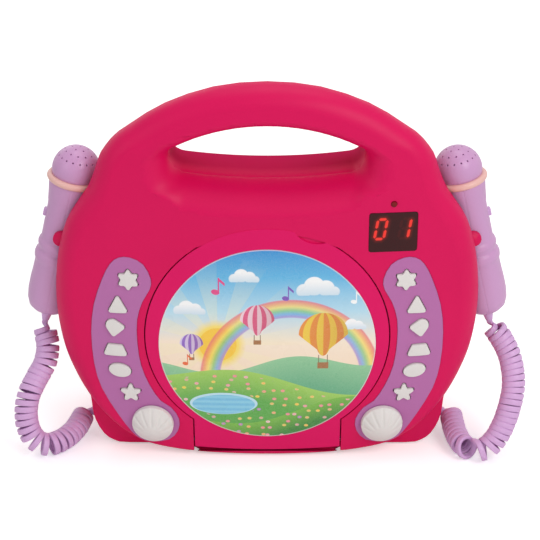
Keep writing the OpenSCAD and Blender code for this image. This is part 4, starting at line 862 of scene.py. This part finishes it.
def loftBetween(rings, flip):
    work = bmesh.new()
    loops = []
    for ring in rings:
        made = [work.verts.new(p) for p in ring]
        loops.append([work.edges.new((made[i - 1], made[i])) for i in range(len(made))])
    for first, second in zip(loops, loops[1:]):
        bmesh.ops.bridge_loops(work, edges=first + second)
    bmesh.ops.recalc_face_normals(work, faces=work.faces)
    work.normal_update()
    centre = sum((v.co for v in work.verts), Vector()) / len(work.verts)
    outwards = sum(f.normal.dot(f.calc_center_median() - centre) * f.calc_area() for f in work.faces)
    if (outwards < 0) != flip:
        bmesh.ops.reverse_faces(work, faces=work.faces)
    work.normal_update()
    return work


class SmoothForm:
    def __init__(self, rings, flip=False):
        work = loftBetween(rings, flip)
        bmesh.ops.triangulate(work, faces=work.faces)
        work.verts.ensure_lookup_table()
        self.points = [v.co.copy() for v in work.verts]
        self.normals = [v.normal.copy() for v in work.verts]
        self.faces = [[v.index for v in f.verts] for f in work.faces]
        self.tree = BVHTree.FromPolygons(self.points, self.faces)
        work.free()

    def normalAt(self, at, facing, reach, spread):
        found, normal, index, distance = self.tree.find_nearest(at, reach)
        if found is None or facing.dot(normal) < spread:
            return None
        corners = self.faces[index]
        shares = poly_3d_calc([self.points[i] for i in corners], found)
        return sum((self.normals[i] * s for i, s in zip(corners, shares)), Vector()).normalized()


# Lengths here are metres. The long edges that lie on a form are split, and their points laid on it: "reach" and
# "facing" say how near and how parallel a facet is to count as on the form, "near" and "along" the same for shading.
smoothing = {"longest": (0.014, 0.008, 0.0045), "reach": 0.0012, "facing": 0.9, "near": 0.0005, "along": 0.93,
             "crownAngle": 2.5, "crownEdge": 0.6, "straight": 0.03, "weld": 0.00001}


def crownNormal(at, facing):
    out = (at - place(0, housing["faceRadius"], housing["faceMiddle"])).normalized()
    if abs(facing.dot(out)) < math.cos(math.radians(smoothing["crownAngle"])):
        return None
    return out if facing.dot(out) > 0 else -out


def bothForms(change):
    front, rear, hole = ([[change(p) for p in ring] for ring in rings]
                         for rings in (frontRings(), rearRings(), throatRings()))
    holeForm = SmoothForm(hole, True)
    return {"front_shell": [SmoothForm(front), holeForm], "rear_shell": [SmoothForm(rear), holeForm]}


plainForms, smoothForms = bothForms(lambda p: p), bothForms(fullForm)
print("smooth forms made")


def onForm(shell, face):
    return any(form.normalAt(face.calc_center_median(), face.normal, smoothing["reach"], smoothing["facing"])
               for form in shell)


def smoothedShell(work, node):
    shell = plainForms[node]
    bmesh.ops.triangulate(work, faces=work.faces)
    for longest in smoothing["longest"]:
        work.normal_update()
        edges = {edge for face in work.faces if onForm(shell, face) for edge in face.edges}
        cut = [edge for edge in work.edges if edge in edges and edge.calc_length() > longest]
        bmesh.ops.subdivide_edges(work, edges=cut, cuts=1)
        bmesh.ops.triangulate(work, faces=[f for f in work.faces if len(f.verts) > 3])
    work.normal_update()
    for vert in work.verts:
        for form in shell:
            found, normal, index, distance = form.tree.find_nearest(vert.co, smoothing["reach"])
            if found is not None and all(abs(f.normal.dot(normal)) > smoothing["facing"] for f in vert.link_faces):
                vert.co = found
                break


def dressedMesh(node, bevel, sharp):
    work = bmesh.new()
    work.from_mesh(frame["nodes"][node].data)
    bmesh.ops.remove_doubles(work, verts=work.verts, dist=smoothing["weld"])
    bmesh.ops.dissolve_degenerate(work, edges=work.edges, dist=1e-7)
    if node in plainForms:
        smoothedShell(work, node)
    else:
        flat = math.radians(smoothing["straight"])
        bmesh.ops.dissolve_limit(work, angle_limit=flat, verts=work.verts, edges=work.edges)
    if node in plainForms or node == "shell_screws":
        for vert in work.verts:
            vert.co = fullForm(vert.co)
    if bevel:
        corners = [e for e in work.edges if len(e.link_faces) == 2 and e.calc_face_angle(0) > math.radians(sharp)]
        if corners:
            bmesh.ops.bevel(work, geom=corners, offset=bevel / 1000, offset_type="OFFSET", affect="EDGES", segments=2,
                            profile=0.5, material=-1, clamp_overlap=True, loop_slide=True)
    bmesh.ops.triangulate(work, faces=[f for f in work.faces if len(f.verts) > 4])
    return meshOf(work, node, sharp)


def settleNormals(mesh, node, crowned):
    normals = [Vector(n.vector) for n in mesh.corner_normals]
    onCrown = {}
    shell = smoothForms.get(node, [])
    for face in mesh.polygons:
        for corner in face.loop_indices:
            index = mesh.loops[corner].vertex_index
            at = mesh.vertices[index].co
            found = crownNormal(at, face.normal) if crowned else None
            if found:
                onCrown[index] = found
            for form in shell:
                if found is None:
                    found = form.normalAt(at, face.normal, smoothing["near"], smoothing["along"])
            if found:
                normals[corner] = found
    if crowned and not shell:  # the bevels of small crowned pieces run into the crown
        for face in mesh.polygons:
            for corner in face.loop_indices:
                out = onCrown.get(mesh.loops[corner].vertex_index)
                if out and face.normal.dot(out) > smoothing["crownEdge"]:
                    normals[corner] = out
    mesh.normals_split_custom_set(normals)


def pieceName(node):
    first, *rest = node.split("_")
    return first + "".join(word.capitalize() for word in rest)


def addPiece(name, mesh, finish, node):
    mesh.name = name
    mesh.materials.append(finishes[finish])
    piece = addObject(name, mesh)
    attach(piece, frame["nodes"][node]["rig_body"])
    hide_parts(node)


def dress(node, finish, bevel=0.0, sharp=32, crowned=False):
    mesh = dressedMesh(node, bevel, sharp)
    settleNormals(mesh, node, crowned)
    addPiece(pieceName(node), mesh, finish, node)


# The knobs: a dome with flutes that fan out from low on it, on the stem of the potentiometer.
knob = {
    "at": (71.3, 26), "radius": 13, "height": 8.2, "dome": 19, "rim": 0.7, "stemRadius": 3, "stemDepth": 9,
    "edge": 0.9, "edgeTurns": (30, 60, 90), "rings": 22, "steps": 144, "sharp": 50,
    "fanLow": -5.6, "fluteApart": 22, "fluteLast": 66, "fluteWide": 0.75, "fluteDeep": 0.55, "fluteFrom": 5.5,
    "fluteEase": 4, "fluteAbove": 0.5,
}


def knobProfile():  # radius and height, from the top of the dome down to the foot of the stem
    radius, height, dome, edge = knob["radius"], knob["height"], knob["dome"], knob["edge"]
    drop = dome - math.sqrt(dome**2 - (radius - edge) ** 2)
    profile = [(0.0, height)]
    for i in range(1, knob["rings"] + 1):
        r = (radius - edge) * i / knob["rings"]
        profile.append((r, height - dome + math.sqrt(dome**2 - r * r)))
    for angle in knob["edgeTurns"]:
        turn = math.radians(angle)
        profile.append((radius - edge + edge * math.sin(turn), height - drop - edge * (1 - math.cos(turn))))
    rim, stem, depth = knob["rim"], knob["stemRadius"], -knob["stemDepth"]
    return profile + [(radius, rim), (stem, rim), (stem, depth), (0.0, depth)]


def fluteDepth(u, w):
    depth = 0
    for k in range(round(2 * knob["fluteLast"] / knob["fluteApart"]) + 1):
        lean = math.radians(k * knob["fluteApart"] - knob["fluteLast"])
        off = u * math.cos(lean) - w * math.sin(lean)
        along = u * math.sin(lean) + w * math.cos(lean)
        depth += math.exp(-(off / knob["fluteWide"]) ** 2) * smoothStep(
            (along - knob["fluteFrom"]) / knob["fluteEase"])
    return knob["fluteDeep"] * depth


def addKnob(side):
    sign = -1 if side == "left" else 1
    x, z = knob["at"]
    root = place(sign * x, faceDepth(x, z), z)
    inward = (place(0, housing["faceRadius"], housing["faceMiddle"]) - root).normalized()
    right = inward.cross(Vector((0, 0, 1))).normalized()
    up = right.cross(inward)
    work = bmesh.new()
    made = [work.verts.new((r, 0, h)) for r, h in knobProfile()]
    chain = [work.edges.new(pair) for pair in zip(made, made[1:])]
    bmesh.ops.spin(work, geom=made + chain, cent=(0, 0, 0), axis=(0, 0, 1), angle=math.tau, steps=knob["steps"],
                   use_merge=True)
    bmesh.ops.remove_doubles(work, verts=work.verts, dist=1e-4)
    for vert in work.verts:
        if vert.co.z > knob["rim"] + knob["fluteAbove"]:
            vert.co.z -= fluteDepth(vert.co.x, vert.co.y - knob["fanLow"])
    for vert in work.verts:
        vert.co = root + (right * vert.co.x + up * vert.co.y - inward * vert.co.z) / 1000
    bmesh.ops.recalc_face_normals(work, faces=work.faces)
    mesh = meshOf(work, f"{side}Knob", knob["sharp"])
    addPiece(mesh.name, mesh, "keyWhite", f"{side}_knob")


dress("front_shell", "shellPink", crowned=True)
dress("rear_shell", "shellPink")
dress("lid", "lidPink", bevel=0.35, crowned=True)
dress("lid_insert", "printedCard", crowned=True)
dress("disc_deck", "bodyPinkInside", bevel=0.25)
dress("display_window", "windowRed", bevel=0.2, crowned=True)
dress("program_led", "lampRed", bevel=0.2)
dress("battery_door", "shellPink", bevel=0.3)
for side in ("left", "right"):
    dress(f"{side}_panel", "panelMauve", bevel=0.3, crowned=True)
    addKnob(side)
    for shape in ("star", "triangle", "pick", "trapezoid", "oval", "point"):
        dress(f"{side}_{shape}_key", "keyWhite", bevel=0.7)
    for part in ("outer", "inner"):
        dress(f"mic_{side}_{part}", "micLavender", bevel=0.2)
    dress(f"mic_{side}_ring", "ringPeach", sharp=50)
    dress(f"mic_{side}_head", "micLavender", bevel=0.12)
    dress(f"mic_{side}_relief", "cordLilac", bevel=0.3)
    dress(f"mic_{side}_switch", "cordLilac", bevel=0.25)
for node, finish, slot, bevel in (
        ("cord_grommets", "cordLilac", "cord_plastic", 0.3), ("feet", "blackRubber", "rubber", 0.4),
        ("shell_screws", "steel", "steel", 0.1), ("dc_jack", "darkPlastic", "dark_plastic", 0.2),
        ("speaker", "coneBlack", "speaker_mix", 0.2), ("battery_bay", "darkPlastic", "dark_plastic", 0.3),
        ("battery_contacts", "zinc", "steel", 0.1), ("display_module", "darkPlastic", "dark_plastic", 0.2),
        ("main_board", "boardGreen", "board", 0), ("key_boards", "boardGreen", "board", 0),
        ("drive_frame", "zinc", "steel", 0.15), ("spindle_motor", "steel", "steel", 0.2),
        ("guide_rods", "steel", "steel", 0.2), ("feed_motor", "zinc", "steel", 0.2), ("dial_pots", "zinc", "steel", 0.2),
        ("hinge_pin", "steel", "steel", 0.2), ("turntable", "darkPlastic", "dark_plastic", 0.15),
        ("optical_sled", "darkPlastic", "dark_plastic", 0.25), ("lens", "lensGlass", "lens_glass", 0),
        ("feed_screw", "steel", "steel", 0.0)):
    dress(node, finish, bevel)
print("nodes dressed")


# Floor, lamps and world. Each lamp is its name, place, size and power.
studio = {
    "floor": 3.0, "floorTone": (246, 246, 246), "floorShade": (250, 250, 250), "floorGlow": 0.42, "world": 0.42,
    "aim": (0, 0, 0.1), "lamps": [
        ("keyLamp", (0.95, -1.15, 1.25), 1.0, 13), ("fillLamp", (-1.2, -0.95, 0.9), 1.1, 3),
        ("topLamp", (0.1, 0.25, 1.6), 1.0, 5), ("backLamp", (-0.7, 1.3, 0.9), 0.9, 1.6)],
}


def addFloor():
    work = bmesh.new()
    bmesh.ops.create_grid(work, x_segments=2, y_segments=2, size=studio["floor"])
    mesh = meshOf(work, "floor")
    floor = addObject("floor", mesh)
    finish = Finish("floorWhite", Roughness=0.6, Emission_Strength=studio["floorGlow"])
    finish.colour(finish.mixed(finish.noise(3, 2), studio["floorTone"], studio["floorShade"]))
    cameraRay = finish.node("ShaderNodeLightPath", output="Is Camera Ray")
    finish.set(finish.surface, "Emission Color", finish.mixed(cameraRay, (0, 0, 0, 1), (1, 1, 1, 1)))
    mesh.materials.append(finishes["floorWhite"])


def addLamps():
    for name, at, size, power in studio["lamps"]:
        lamp = bpy.data.lights.new(name, "AREA")
        lamp.shape, lamp.size, lamp.energy = "DISK", size, power
        shown = addObject(name, lamp)
        shown.location = at
        shown.rotation_euler = (Vector(studio["aim"]) - Vector(at)).to_track_quat("-Z", "Y").to_euler()


def addWorld():  # white to the camera and in what shines or is clear, dimmer as a light
    world = bpy.data.worlds.new("studio")
    world.use_nodes = True
    sky = Nodes(world.node_tree)
    seen = sky.node("ShaderNodeLightPath", output="Is Camera Ray")
    for ray in ("Is Glossy Ray", "Is Transmission Ray"):
        seen = seen.atLeast(sky.node("ShaderNodeLightPath", output=ray))
    background = sky.tree.nodes["Background"]
    sky.set(background, "Color", (1, 1, 1, 1))
    sky.set(background, "Strength", seen * (1 - studio["world"]) + studio["world"])
    scene.world = world


addFloor()
addLamps()
addWorld()
print("studio set")
